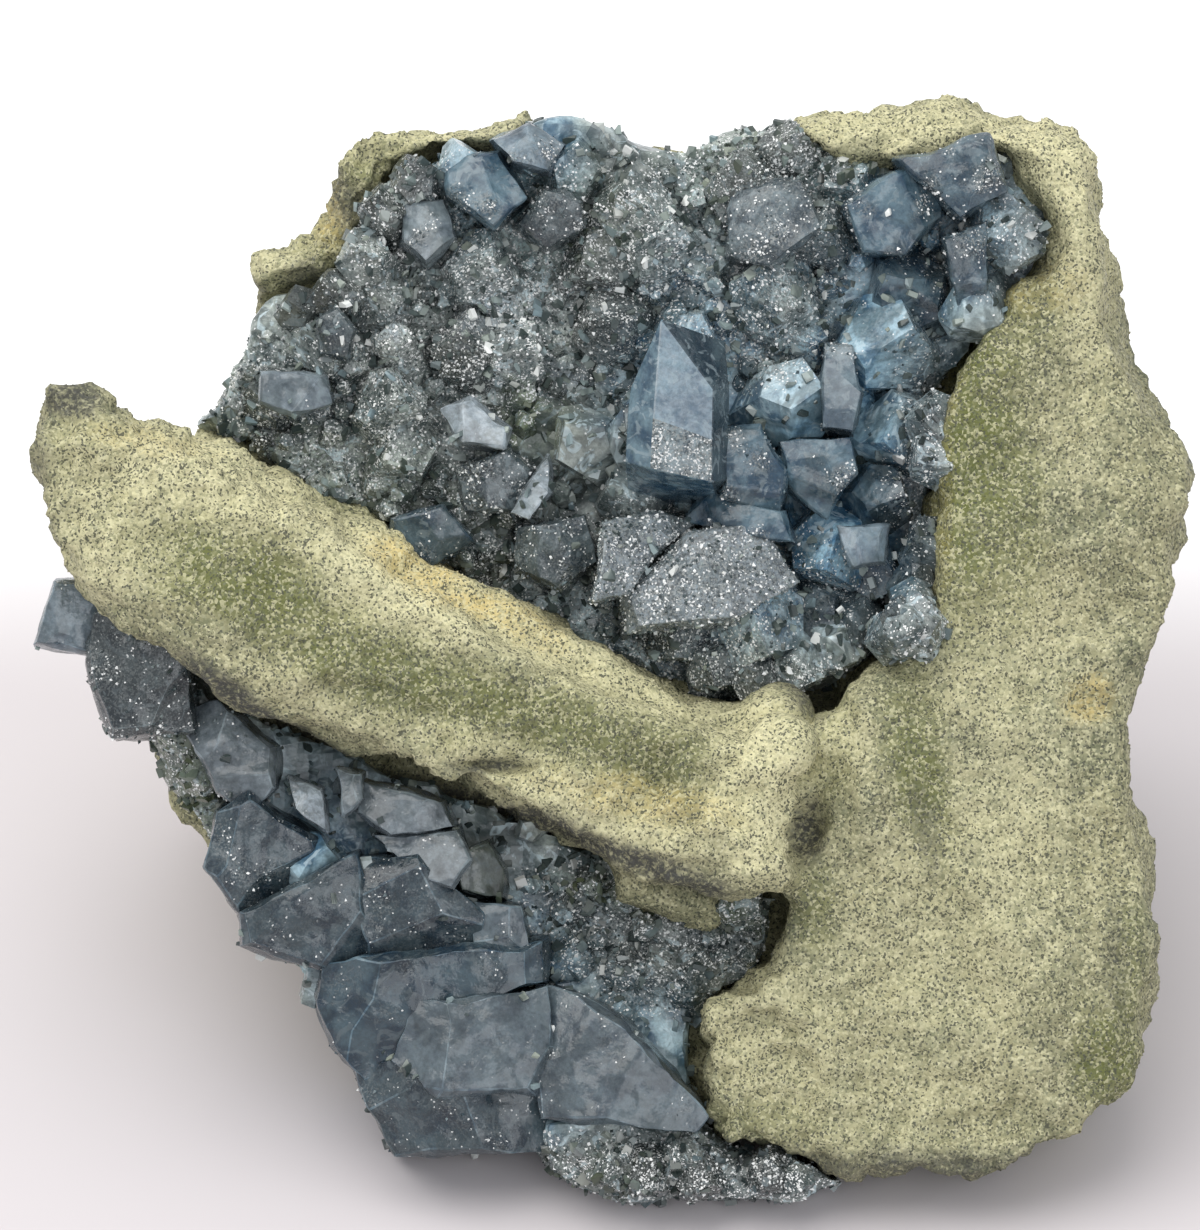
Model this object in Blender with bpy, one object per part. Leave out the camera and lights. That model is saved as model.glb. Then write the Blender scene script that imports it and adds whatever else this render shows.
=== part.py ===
"""Blue quartz specimen: drusy blue quartz grown on a block of pale granular rock.

The stone stands on its broken underside with its crystal face leaning back. Places on that
face are given in millimetres as (across, up, out): across to the right, up along the face,
and out from it. World units are metres and +Z is up.
"""
import math
import random

import bmesh
import bpy
from mathutils import Matrix, Vector, noise

# Driving dimensions, in millimetres and degrees
MM = 0.001
FACE_LEAN = math.radians(35.0)
FACE_CENTRE_HEIGHT = 37.5
STONE_HEIGHT = 63.5
STONE_BACK = 37.0
CLEARANCE = 0.4
FLOOR_GAP = 0.4

ROCK_VOXEL = 1.15
ROCK_TRIANGLES = 3500
CRUST_VOXEL = 1.6
ROUNDING_STEPS = 2
ROCK_LUMPS = ((15.0, 1.6), (6.5, 1.2), (3.2, 0.7))
CRUST_LUMPS = ((7.0, 0.9), (3.5, 0.7))
POCKET_FLOOR = -10.5
POCKET_SLOPE = -0.06
POCKET_FLOOR_BAND = 1.2
BODY_BACK = -64.0
BODY_TAPER = 0.90
BODY_BEVEL = 0.6
CRUST_BEVEL = 0.4
BLANK_WIDTH = 200.0
FLOOR_BLOCK_WIDTH = 300.0

# The end faces of quartz slope this far from the plane across its long axis
END_FACE_SLOPE = math.radians(51.8)
# Prism sides stand at these shares of the half width; every other end face is set back by these
PRISM_SIDE_SHARE = (0.86, 1.08)
END_SETBACK_SHARE = (0.15, 0.5)
# Shortest crystal, in half widths
STUBBIEST_CRYSTAL = 1.6

# Small crystals between the listed ones: jitter in spacings, free radius in half widths, leans in
# degrees and rise over the crust
FILLER_JITTER = 0.4
FILLER_FREE_RADIUS = 0.85
FILLER_LEAN_RIGHT = (-38.0, 38.0)
FILLER_LEAN_UP = (-30.0, 38.0)
FILLER_RISE = (0.4, 1.4)

# Outlines on the face, as (across, up)
BODY = [(-26, 23.5), (-28, 17.5), (-31, 14), (-34.5, 7), (-35.5, -5.5), (-34, -11), (-29, -18.5),
        (-22.5, -26.5), (-19.5, -30.5), (-16.5, -36), (-14, -39), (-4, -40.5), (7.5, -41.5), (19, -42),
        (30, -41.5), (36, -40), (39, -35), (40.5, -31), (41.5, -24.5), (41, -18.5), (40, -11),
        (40.5, -6.5), (42.5, 0.5), (42.8, 8.5), (42, 14.5), (40, 20.5), (39, 26.5), (38, 34.5),
        (36.5, 37), (30, 37.5), (26, 38.5), (21, 38.5), (17, 37.5), (10.5, 36.5), (4, 34.5), (0, 36.5),
        (-5, 37.5), (-12, 36.5), (-16, 38), (-20, 35.5), (-21, 32), (-23, 28.5), (-26.5, 28)]
RIGHT_BLOCK = [(29.5, 35), (30, 37.5), (35, 37.8), (37, 36), (38, 34.5), (39, 26.5), (40, 19), (43, 11.5),
               (43.3, 8), (42.5, 0.5), (40.5, -6.5), (40.5, -13), (42, -21.5), (42, -25), (40.5, -31),
               (39, -35.5), (36, -40.5), (30, -41.8), (19, -42), (9, -39.8), (7.3, -36.5), (7.3, -29.5),
               (11.5, -27.5), (13.2, -25), (14, -20), (16.8, -9.5), (17.5, -7), (20.5, -4.5), (24.8, 0.5),
               (25.2, 8), (25.5, 15.5), (28.6, 20.5), (30.5, 24.5), (34, 25.5), (34.2, 31), (31.5, 33.5)]
RIDGE = [(-43, 12), (-42.5, 15), (-40.5, 16.3), (-35, 14.5), (-31.5, 14), (-25.5, 12.3), (-20, 8.3),
         (-13.5, 5.2), (-7.5, 0.8), (0, -2.7), (7.5, -6.2), (14, -7), (14.2, -20.5), (10.5, -20.2),
         (1.5, -17.7), (-7.5, -14.6), (-13.5, -12.1), (-20, -9.6), (-25.5, -6.6), (-30, -3.2),
         (-37.5, -0.2), (-40, 3.5), (-42, 7)]
RIDGE_CREST = [(-42.3, 11.5), (-41, 14), (-35, 12.5), (-25.5, 9.3), (-13.5, 2.2), (0, -5.5), (7.5, -8.8),
               (14, -9.5), (14.2, -20.5), (10.5, -20.2), (1.5, -17.7), (-13.5, -12.1), (-25.5, -6.6),
               (-30, -3.2), (-37.5, 0.3), (-41, 6)]
RIM_LEFT = [(-20, 35.5), (-16, 38), (-12, 36.5), (-5, 38), (-5.5, 36), (-8, 35), (-13, 35), (-16, 32.5),
            (-17.5, 29), (-17.5, 26), (-24, 24.8), (-26.6, 24), (-26.6, 28), (-23, 28.5), (-21, 32)]
RIM_RIGHT = [(14, 37.5), (17, 37.7), (21, 38.8), (26, 38.8), (31, 37.5), (31, 35), (24, 34), (20, 33.7),
             (16.5, 35)]
DRUSE_RIB = [(1.5, -19.5), (6, -21), (10.5, -22.5), (10.5, -24), (5, -23.3), (2, -21.7)]
UPPER_BED = [(-31.5, 14.5), (-29, 16), (-28.3, 18.5), (-26.7, 21), (-24.6, 24.3), (-17.5, 25.8),
             (-17.5, 29), (-16, 32.3), (-13, 34.6), (-7.5, 35), (-5, 38), (0, 37.5), (3.5, 35.5), (7, 35),
             (10.5, 37.4), (15, 37), (17, 35), (20, 33.7), (29, 35.2), (31.5, 33.3), (34, 31),
             (34, 25.8), (30.5, 24.8), (28.4, 20.8), (25.3, 16), (25, 8), (24.6, 1), (20, -4), (14, -6.8),
             (7.5, -6), (0, -2.5), (-7.5, 1), (-13.5, 5.3), (-20, 8.5), (-25.5, 12.5)]
LOWER_BED = [(-30, -5.5), (-25.5, -8), (-20, -10.5), (-13.5, -12.5), (-7.5, -15), (1.5, -18.5),
             (10.5, -20.7), (13.6, -21), (13, -25), (11.3, -27.3), (7, -29.7), (7, -38.5), (-4, -39.5),
             (-13, -39.7), (-16, -37.5), (-18.2, -33), (-20, -29), (-26, -25), (-28.7, -19), (-30.5, -15.5),
             (-33.2, -12), (-32, -9)]
NUB_KNOB = [(-42, 13.5), (-41.5, 16.2), (-39.8, 17.2), (-37.5, 16.2), (-37, 14)]
LEFT_EDGE = [(-38.5, 0.5), (-34, -0.5), (-31, -3.5), (-28.5, -7), (-30.5, -11.5), (-35, -8.8), (-37.8, -4)]
FOOT_CRUST = [(-4, -38), (6.8, -37.8), (9.5, -40.3), (19, -42), (18, -43.3), (9, -44.2), (-1, -43.3),
              (-4, -41.5)]
SIDE_POCKET = [(20.7, 1.2), (24, 1.6), (26.3, -0.5), (24.8, -3.6), (22, -1.8)]

# Crystals as (across, up, out, half width, lean right, lean up), with leans in degrees
UPPER_CRYSTALS = [
    (-9.6, 33.2, -2.0, 2.5, 25, 30), (-5.6, 36.3, -2.6, 2.2, -15, 25), (-4.6, 30.8, -2.4, 2.5, 15, -10),
    (-1.6, 35.4, -3.4, 2.1, 10, 35), (-12.6, 29.2, -3.2, 2.9, -20, 20), (-22.4, 22.2, -3.8, 2.7, -30, 25),
    (-19.6, 21.3, -2.6, 2.1, 10, 15), (-16.1, 21.6, -2.6, 1.3, -20, 30), (-23.2, 16.8, -2.8, 3.1, -12, -8),
    (-26.6, 17.2, -5.0, 2.2, -30, 15), (-15.2, 16.4, -2.8, 2.7, 12, 8), (-10.0, 14.8, -2.2, 2.4, 4, 2),
    (-6.2, 10.2, -2.2, 2.7, 18, -16), (-4.3, 3.2, -3.0, 3.2, -14, -24), (-12.0, 5.6, -3.4, 2.3, -24, -16),
    (-10.6, 21.4, -2.9, 2.5, -10, 22), (-4.8, 20.2, -3.0, 2.4, 28, 12), (-2.6, 14.4, -3.0, 2.5, -26, 20),
    (2.2, 16.2, -3.0, 2.9, -20, 44), (5.3, 12.6, 0.4, 3.3, 6, -20),
    (3.2, 4.2, 0.6, 4.0, -22, 24), (8.0, 1.4, 0.4, 4.1, 20, -10), (12.6, -3.0, -0.6, 3.6, 12, -30),
    (11.0, 7.6, -1.6, 3.6, -14, 22), (15.6, 10.4, -1.0, 3.7, 16, 16), (20.4, 5.2, -2.0, 2.9, 22, -16),
    (16.8, 17.2, -1.8, 2.9, 32, 20), (21.4, 13.0, -2.4, 3.1, -14, -12), (17.0, 3.4, -1.6, 3.2, -8, -22),
    (12.0, 26.2, -2.4, 3.3, -18, 26), (5.6, 29.6, -3.0, 3.3, 16, 18), (10.0, 34.4, -2.6, 3.2, -16, 34),
    (17.0, 29.2, -1.9, 2.6, 10, 6), (22.2, 30.6, -1.6, 2.7, -10, 14), (26.2, 33.4, -0.8, 3.5, 12, 32),
    (28.2, 28.8, -1.0, 3.3, 28, -14), (32.0, 30.4, -0.4, 2.5, 24, 22), (32.2, 26.8, -0.8, 2.1, 18, -26),
    (23.6, 21.6, -1.6, 3.7, 24, 12), (8.8, 20.4, -4.2, 2.4, 34, -6), (15.2, 36.6, -4.4, 2.3, 24, 34),
    (13.4, 21.6, -4.8, 2.6, -30, 12), (23.0, 9.0, -3.0, 2.4, 34, 4), (-1.4, 26.0, -3.6, 2.7, -22, -16),
    (24.0, 15.0, -0.8, 2.2, -26, 10), (23.8, 11.4, -0.4, 2.1, -30, -8), (23.6, 5.6, -0.6, 2.2, -24, 12),
    (27.2, 21.6, -0.6, 2.3, -18, -24), (22.9, 1.6, -0.8, 2.0, -20, -16), (19.2, -2.2, -1.6, 1.9, -6, -28),
    (-8.0, 26.8, -2.8, 2.7, 16, 10), (1.6, 32.0, -2.4, 3.0, -14, 16), (-17.6, 25.0, -4.2, 2.3, -22, 24),
    (-0.8, 22.4, -3.4, 2.9, -24, 8), (13.0, 31.2, -2.6, 2.6, 22, 8), (22.4, 2.0, -3.0, 2.3, 26, -20),
    (17.6, -1.8, -3.0, 2.7, 16, -26), (0.6, 9.6, -3.6, 2.7, -32, 6), (-16.0, 11.4, -4.0, 2.6, -16, -18),
    (21.6, 25.6, -2.4, 3.0, -22, 16), (5.6, -3.2, -2.6, 2.4, -10, -34),
]
LOWER_CRYSTALS = [
    (-28.4, -8.2, -0.4, 3.0, -20, 26), (-26.6, -12.6, 0.6, 3.2, 14, -8), (-22.4, -13.2, 0.4, 1.8, 22, 18),
    (-18.6, -12.9, 0.6, 1.7, -14, 24), (-25.6, -17.2, 1.8, 4.5, -28, 10), (-21.6, -22.4, 2.2, 4.5, -16, -24),
    (-15.2, -14.6, 1.2, 2.9, 22, 26), (-12.0, -17.6, 1.8, 3.0, -16, 16), (-8.6, -19.4, 1.6, 2.7, 4, 4),
    (-13.0, -22.6, 2.6, 4.0, 22, -10), (-7.4, -24.0, 1.6, 3.2, -10, 22), (-16.2, -27.8, 2.8, 4.2, -24, 6),
    (-9.8, -28.0, 2.2, 3.4, 18, -14), (-12.0, -32.0, 3.8, 3.6, -12, 22), (-7.2, -32.2, 3.4, 3.4, 20, 12),
    (-0.6, -32.4, 3.8, 4.8, 10, 26), (-16.6, -33.2, 1.4, 3.0, -34, -8), (-12.6, -36.8, 2.6, 4.2, -20, -32),
    (-6.2, -37.0, 2.6, 3.7, 10, -34), (4.2, -35.0, 2.4, 3.0, 24, -16), (-1.8, -24.6, -2.6, 2.2, 16, 24),
    (3.6, -26.4, -2.8, 2.0, -22, 10), (12.0, -22.4, -1.6, 2.0, 32, -10), (8.2, -26.0, -2.6, 1.9, 16, 20),
    (-20.4, -17.4, 1.2, 2.4, 24, 28), (2.4, -29.6, -0.6, 2.4, 30, 32), (-31.2, -11.6, -1.4, 1.9, -36, 10),
]
LEFT_EDGE_CRYSTALS = [
    (-38.2, 0.6, -0.4, 2.7, -44, -6), (-40.3, -0.6, -2.0, 2.2, -52, -14), (-33.0, -1.6, 1.6, 2.7, 22, 30),
    (-34.6, -5.4, 1.8, 3.7, -14, -18), (-32.6, -6.6, 1.0, 2.2, 18, -24), (-36.4, -2.2, 0.6, 2.3, -30, 22),
]
FOOT_CRYSTALS = [
    (-1.8, -39.8, 3.4, 1.8, -20, 14), (2.0, -40.2, 4.0, 1.9, 14, 22), (5.6, -40.6, 4.2, 1.8, -10, 8),
    (0.2, -42.2, 4.2, 1.7, -16, -20), (4.0, -42.8, 4.6, 1.8, 12, -24), (8.2, -42.4, 4.6, 1.7, 20, -8),
    (12.0, -42.6, 4.2, 1.4, -14, -18), (15.4, -42.6, 3.8, 1.1, 20, -14),
]
SIDE_CRYSTALS = [
    (21.8, 0.6, 3.0, 1.4, -20, 26), (23.8, -0.6, 4.2, 2.0, 18, 10), (24.4, -2.4, 3.6, 1.6, 10, -34),
    (24.8, 0.8, 3.0, 1.3, 30, 22),
]

# Blocky crystals by their front faces: (depth at the middle, change across, change up, corners)
UPPER_BLOCKS = [
    (-1.4, 0.25, -0.30, [(-11.6, 34.4), (-7.8, 34.7), (-6.0, 31.5), (-8.1, 29.5), (-11.2, 31.6)]),
    (-1.8, -0.2, -0.5, [(-7.8, 35.8), (-5.3, 36.8), (-2.9, 35.5), (-4.0, 33.5), (-6.5, 34.1)]),
    (-2.2, 0.0, 0.25, [(-6.0, 29.5), (-4.1, 31.8), (-1.6, 31.0), (-1.2, 29.2), (-4.0, 27.7)]),
    (-1.6, 0.1, -0.55, [(-11.6, 15.3), (-9.7, 16.1), (-7.2, 14.1), (-7.5, 12.8), (-10.3, 13.0)]),
    (-1.4, 0.3, -0.5, [(-6.5, 7.9), (-4.1, 11.6), (-3.8, 9.2), (-5.3, 7.5)]),
    (-0.8, 0.35, 0.05, [(13.9, 12.8), (18.5, 13.1), (18.8, 10.7), (17.0, 7.8), (14.2, 10.1)]),
    (-0.4, -0.2, -0.1, [(9.4, 13.7), (12.0, 13.9), (13.8, 10.9), (13.2, 7.9), (9.4, 9.2)]),
    (-0.6, -0.3, -0.15, [(18.2, 6.5), (21.6, 6.6), (21.4, 4.0), (19.1, 3.8)]),
    (-1.0, 0.3, -0.3, [(17.0, 20.2), (18.8, 19.7), (19.6, 16.7), (18.9, 14.1), (16.8, 14.3)]),
    (0.6, -0.35, -0.25, [(0.6, 6.6), (3.5, 7.5), (6.8, 6.8), (4.4, 4.9), (2.3, 2.0), (0.0, 1.6)]),
    (0.9, 0.15, -0.12, [(2.3, 1.6), (6.9, 5.8), (11.3, 6.1), (13.8, 2.5), (9.7, -0.1), (2.9, -0.9)]),
    (-0.6, 0.1, -0.25, [(6.8, 7.1), (8.7, 9.0), (13.5, 7.7), (14.2, 5.6), (11.3, 6.1)]),
    (-1.0, -0.3, -0.2, [(18.8, 30.8), (21.0, 32.6), (24.8, 33.4), (25.2, 30.0), (22.9, 27.4), (20.1, 27.7)]),
    (-0.2, 0.25, -0.1, [(22.9, 34.1), (28.8, 35.6), (30.0, 31.9), (27.0, 30.0), (25.2, 31.9)]),
    (-1.8, 0.1, -0.25, [(10.1, 31.9), (15.0, 32.6), (16.5, 29.2), (12.8, 26.5), (10.1, 27.4)]),
    (-2.0, -0.2, -0.4, [(-25.3, 18.2), (-21.1, 17.9), (-20.6, 16.1), (-23.2, 15.2), (-25.3, 16.1)]),
    (-1.8, 0.1, 0.25, [(-21.3, 22.1), (-19.8, 22.9), (-18.5, 21.4), (-19.1, 19.4), (-21.1, 19.7)]),
    (-2.6, 0.2, -0.35, [(-14.6, 30.8), (-12.0, 31.1), (-11.1, 28.5), (-13.1, 26.6), (-14.8, 28.1)]),
    (-2.0, -0.1, 0.2, [(-10.5, 10.9), (-7.1, 12.2), (-5.6, 10.9), (-6.3, 8.0), (-9.8, 8.2)]),
    (-2.6, 0.2, 0.25, [(-15.4, 7.1), (-12.0, 7.9), (-10.1, 5.6), (-12.8, 3.8), (-15.6, 5.2)]),
    (-1.8, 0.1, 0.2, [(-6.0, 6.4), (-1.5, 7.1), (-0.6, 4.1), (-3.0, 2.2), (-6.0, 3.4)]),
    (-0.4, -0.2, 0.15, [(25.9, 28.1), (28.9, 29.2), (28.9, 24.4), (27.0, 23.6)]),
]
LOWER_BLOCKS = [
    (-0.6, -0.15, -0.1, [(-40.8, 2.2), (-38.6, 2.3), (-37.4, 0.4), (-37.9, -2.6), (-42.1, -1.9)]),
    (1.9, 0.1, 0.12, [(-38.1, -2.5), (-37.5, -0.5), (-33.8, -0.2), (-31.3, -3.0), (-31.2, -8.0),
                               (-36.4, -8.5), (-37.8, -4.9)]),
    (0.8, 0.1, -0.2, [(-31.2, -8.0), (-28.6, -7.1), (-24.8, -10.0), (-24.8, -12.7), (-26.6, -14.3),
                             (-28.6, -13.0), (-30.0, -10.0)]),
    (1.4, -0.3, -0.3, [(-23.2, -12.5), (-21.0, -13.2), (-20.6, -16.0), (-22.8, -14.5)]),
    (1.2, 0.3, -0.3, [(-19.6, -11.7), (-18.0, -12.1), (-17.8, -13.7), (-19.1, -14.7)]),
    (1.6, -0.25, 0.1, [(-28.9, -18.7), (-28.2, -15.2), (-26.2, -13.9), (-21.6, -17.0), (-21.1, -19.1),
                              (-26.2, -22.4)]),
    (2.0, -0.1, 0.2, [(-26.2, -22.4), (-21.6, -19.9), (-18.8, -18.7), (-17.2, -24.9), (-19.9, -26.4),
                              (-23.2, -25.6), (-26.2, -24.6)]),
    (1.9, 0.15, 0.05, [(-18.7, -19.0), (-13.7, -18.3), (-9.6, -22.3), (-9.6, -24.6), (-17.0, -25.1),
                               (-18.5, -21.6)]),
    (1.2, 0.1, -0.25, [(-17.7, -12.7), (-12.1, -14.0), (-11.5, -15.7), (-15.7, -16.5), (-17.8, -14.7)]),
    (1.7, 0.2, -0.35, [(-16.3, -16.8), (-10.9, -16.3), (-10.1, -18.3), (-11.1, -20.3), (-14.0, -19.3)]),
    (1.0, -0.3, -0.05, [(-10.7, -18.3), (-8.4, -17.2), (-7.3, -19.0), (-7.3, -21.1), (-10.3, -20.5)]),
    (1.5, 0.2, -0.15, [(-9.8, -21.6), (-6.1, -22.0), (-5.5, -24.8), (-9.4, -25.1)]),
    (2.4, -0.1, 0.1, [(-19.6, -26.6), (-11.1, -25.1), (-5.6, -25.1), (-5.5, -27.7), (-8.4, -28.9),
                             (-13.7, -29.5), (-14.7, -33.1), (-17.0, -34.0), (-19.0, -31.9), (-20.1, -28.9)]),
    (3.6, -0.12, -0.08, [(-14.7, -33.1), (-13.0, -29.2), (-9.1, -28.9), (-4.7, -28.4), (-4.1, -32.2),
                                 (-5.4, -35.3), (-11.7, -35.3)]),
    (3.6, 0.18, -0.22, [(-4.2, -28.4), (-1.5, -29.1), (1.9, -30.9), (6.9, -36.8), (6.1, -37.8),
                                (-3.8, -37.1), (-4.2, -32.2)]),
    (3.0, 0.1, 0.25, [(-17.3, -34.0), (-14.7, -33.7), (-11.7, -35.5), (-4.8, -35.5), (-3.7, -37.6),
                              (-4.3, -39.6), (-14.7, -39.9), (-16.8, -35.9)]),
]

# Corners of the blue point, as (across, up, out)
BLUE_POINT = [
    (4.6, 22.2, 0.6), (8.5, 16.9, 1.52), (8.4, 13.1, 2.6), (4.0, 14.7, 2.8), (2.3, 17.0, 0.4),
    (2.1, 15.2, 1.0), (9.4, 20.6, -2.2), (9.7, 16.8, -0.6), (8.4, 9.9, 2.3), (3.8, 10.9, 2.8),
    (1.9, 11.4, 1.2), (9.6, 10.2, -0.4), (4.8, 21.0, -4.0), (2.0, 14.0, -5.0), (9.6, 15.0, -5.0),
    (2.2, 8.5, -7.0), (9.2, 8.0, -7.0),
]

# Each block: how far its sides spread and drop behind its front face, ring by ring, to the root
BLOCK_SIDES = ((1.0, 0.0), (1.10, 0.9), (1.22, None))
BLOCK_DROP_SPREAD = (1.0, 1.6)

# The rock's slabs: (outline, front, back, taper, bevel)
ROCK_SLABS = [
    (RIGHT_BLOCK, (1.0, 0.0, -0.08), -20.0, 0.97, 1.2), (RIDGE, (0.5, 0.0, 0.0), -17.0, 0.94, 1.0),
    (RIDGE_CREST, (6.6, 0.02, 0.0), -8.0, 1.0, 0.9), (NUB_KNOB, (3.0, 0.0, 0.0), -6.0, 1.0, 0.8),
    (RIM_LEFT, (-5.5, 0.0, 0.0), -16.0, 0.98, 1.0), (RIM_RIGHT, (-4.5, 0.0, 0.0), -14.0, 0.98, 1.0),
    (DRUSE_RIB, (-1.5, 0.0, 0.0), -12.0, 1.0, 0.5),
]

# The crystal beds. slabs are (outline, front, back) of the crust, groups are (crystals, root depth),
# fillers are (spacing, half widths) of small crystals strewn over the first slab, and triangles are
# those of the crust alone and of the whole bed before it is cut to its place.
BEDS = {
    "upper_crystal_bed": {
        "slabs": [(UPPER_BED, (-7.6, 0.0, 0.03), -14.0)],
        "groups": [(UPPER_CRYSTALS, -10.5)],
        "blocks": UPPER_BLOCKS, "hulls": [BLUE_POINT],
        "filler": (4.3, (1.4, 2.3)), "seed": 3, "triangles": (120, 3380),
    },
    "lower_crystal_bed": {
        "slabs": [(LOWER_BED, (-6.2, 0.0, -0.08), -12.0), (LEFT_EDGE, (-2.2, 0.0, 0.0), -12.0),
                  (FOOT_CRUST, (2.2, 0.0, 0.0), -8.0)],
        "groups": [(LOWER_CRYSTALS, -7.5), (LEFT_EDGE_CRYSTALS, -5.0), (FOOT_CRYSTALS, -1.0)],
        "blocks": LOWER_BLOCKS, "hulls": [],
        "filler": (4.4, (1.3, 2.1)), "seed": 5, "triangles": (150, 2660),
    },
    "side_crystal_cluster": {
        "slabs": [(SIDE_POCKET, (2.0, 0.0, 0.0), -2.0)],
        "groups": [(SIDE_CRYSTALS, -2.0)],
        "blocks": [], "hulls": [], "filler": None, "seed": 13, "triangles": (36, 220),
    },
}


def on_face(across, up, out):
    """World place of a point given on the crystal face."""
    sine = math.sin(FACE_LEAN)
    cosine = math.cos(FACE_LEAN)
    return Vector((across, up * sine - out * cosine,
                   FACE_CENTRE_HEIGHT + up * cosine + out * sine)) * MM


def face_place(point):
    """Where a world point is on the crystal face, as (across, up, out)."""
    sine = math.sin(FACE_LEAN)
    cosine = math.cos(FACE_LEAN)
    height = point.z / MM - FACE_CENTRE_HEIGHT
    depth = point.y / MM
    return point.x / MM, depth * sine + height * cosine, height * sine - depth * cosine


def clear_scene():
    for item in list(bpy.data.objects):
        bpy.data.objects.remove(item)


def principled(name, colour, roughness):
    material = bpy.data.materials.new(name)
    material.use_nodes = True
    shader = material.node_tree.nodes["Principled BSDF"]
    shader.inputs["Base Color"].default_value = (*colour, 1.0)
    shader.inputs["Roughness"].default_value = roughness
    shader.inputs["Metallic"].default_value = 0.0
    material.diffuse_color = (*colour, 1.0)
    return material


def object_from(bm, name):
    mesh = bpy.data.meshes.new(name)
    bm.to_mesh(mesh)
    bm.free()
    item = bpy.data.objects.new(name, mesh)
    bpy.context.scene.collection.objects.link(item)
    return item


def apply_modifiers(item):
    """Bakes the object's modifiers into its mesh."""
    bpy.context.view_layer.update()
    evaluated = item.evaluated_get(bpy.context.evaluated_depsgraph_get())
    mesh = bpy.data.meshes.new_from_object(evaluated)
    item.modifiers.clear()
    old_mesh = item.data
    item.data = mesh
    bpy.data.meshes.remove(old_mesh)


def boolean(item, other, operation, solver="EXACT", self_crossing=False):
    """Joins, cuts or trims one closed body with another, which is used up."""
    step = item.modifiers.new(operation.title(), "BOOLEAN")
    step.operation = operation
    step.solver = solver
    step.use_self = self_crossing
    step.object = other
    apply_modifiers(item)
    bpy.data.objects.remove(other)


def prism(target, outline, front, back, taper=1.0, bevel=0.0):
    """Adds a slab of rock: the outline at the front depth, drawn back and narrowed to the rear.

    front is (depth at the middle of the face, change for each unit across, change for each unit up).
    """
    middle_across = sum(across for across, up in outline) / len(outline)
    middle_up = sum(up for across, up in outline) / len(outline)
    level, slope_across, slope_up = front
    front_ring = []
    back_ring = []
    for across, up in outline:
        depth = level + slope_across * across + slope_up * up - bevel
        front_ring.append(target.verts.new(on_face(across, up, depth)))
        across = middle_across + (across - middle_across) * taper
        up = middle_up + (up - middle_up) * taper
        back_ring.append(target.verts.new(on_face(across, up, back)))
    cap = target.faces.new(front_ring)
    faces = [cap, target.faces.new(list(reversed(back_ring)))]
    count = len(outline)
    for index in range(count):
        after = (index + 1) % count
        faces.append(target.faces.new((front_ring[index], back_ring[index], back_ring[after],
                                       front_ring[after])))
    bmesh.ops.recalc_face_normals(target, faces=faces)
    if bevel > 0.0:
        bmesh.ops.inset_individual(target, faces=[cap], thickness=bevel * MM, depth=bevel * MM)


def cut_off(bm, place, direction):
    """Cuts away what lies beyond a plane and closes the cut."""
    geometry = bm.verts[:] + bm.edges[:] + bm.faces[:]
    result = bmesh.ops.bisect_plane(bm, geom=geometry, dist=1e-7, plane_co=place, plane_no=direction,
                                    clear_outer=True)
    rim = [edge for edge in result["geom_cut"] if isinstance(edge, bmesh.types.BMEdge)]
    if rim:
        bmesh.ops.contextual_create(bm, geom=rim)


def stone_blank():
    """The broken block that the rock is trimmed to: top, back and the corners between them."""
    bm = bmesh.new()
    bmesh.ops.create_cube(bm, size=BLANK_WIDTH * MM)
    cleavages = [
        ((0, 20, STONE_HEIGHT), (0.04, -0.05, 1.0)),
        ((0, STONE_BACK, 33), (0.06, 1.0, 0.10)),
        ((0, 33, 55), (-0.12, 0.72, 0.70)),
        ((-26, 30, 33), (-0.75, 0.66, 0.06)),
        ((34, 30, 33), (0.82, 0.56, -0.04)),
        ((-30, 20, 6), (-0.60, 0.35, -0.72)),
        ((-16, 33, 51), (-0.52, 0.60, 0.60)),
    ]
    for place, direction in cleavages:
        cut_off(bm, Vector(place) * MM, Vector(direction).normalized())
    bmesh.ops.recalc_face_normals(bm, faces=bm.faces)
    return object_from(bm, "stone_blank")


def on_pocket_floor(point):
    """Whether a point of the rock is on the flat floor under a crystal bed."""
    across, up, out = face_place(point)
    near_floor = abs(out - POCKET_FLOOR - POCKET_SLOPE * up) < POCKET_FLOOR_BAND
    return near_floor and (inside(UPPER_BED, across, up) or inside(LOWER_BED, across, up))


def lumpy(item, lumps, seed, still=None):
    """Moves the surface in and out by smooth noise of several sizes, except where it stays still."""
    offset = Vector((seed * 7.3, seed * 3.1, seed * 5.7))
    mesh = item.data
    places = []
    for vertex in mesh.vertices:
        move = 0.0
        if still is None or not still(vertex.co):
            for size, height in lumps:
                move += height * noise.noise(vertex.co / (size * MM) + offset)
        places.append(vertex.co + vertex.normal * move * MM)
    for vertex, place in zip(mesh.vertices, places):
        vertex.co = place


def fuse(item, voxel):
    """Fuses crossing slabs into one skin and softens its edges."""
    remesh = item.modifiers.new("Fuse", "REMESH")
    remesh.mode = "VOXEL"
    remesh.voxel_size = voxel * MM
    soften = item.modifiers.new("Soften", "SMOOTH")
    soften.factor = 0.5
    soften.iterations = ROUNDING_STEPS
    apply_modifiers(item)


def thin_out(item, triangles):
    """Lowers the number of triangles and keeps the form."""
    item.data.calc_loop_triangles()
    step = item.modifiers.new("Thin", "DECIMATE")
    step.ratio = min(1.0, triangles / len(item.data.loop_triangles))
    step.use_collapse_triangulate = True
    apply_modifiers(item)


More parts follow.
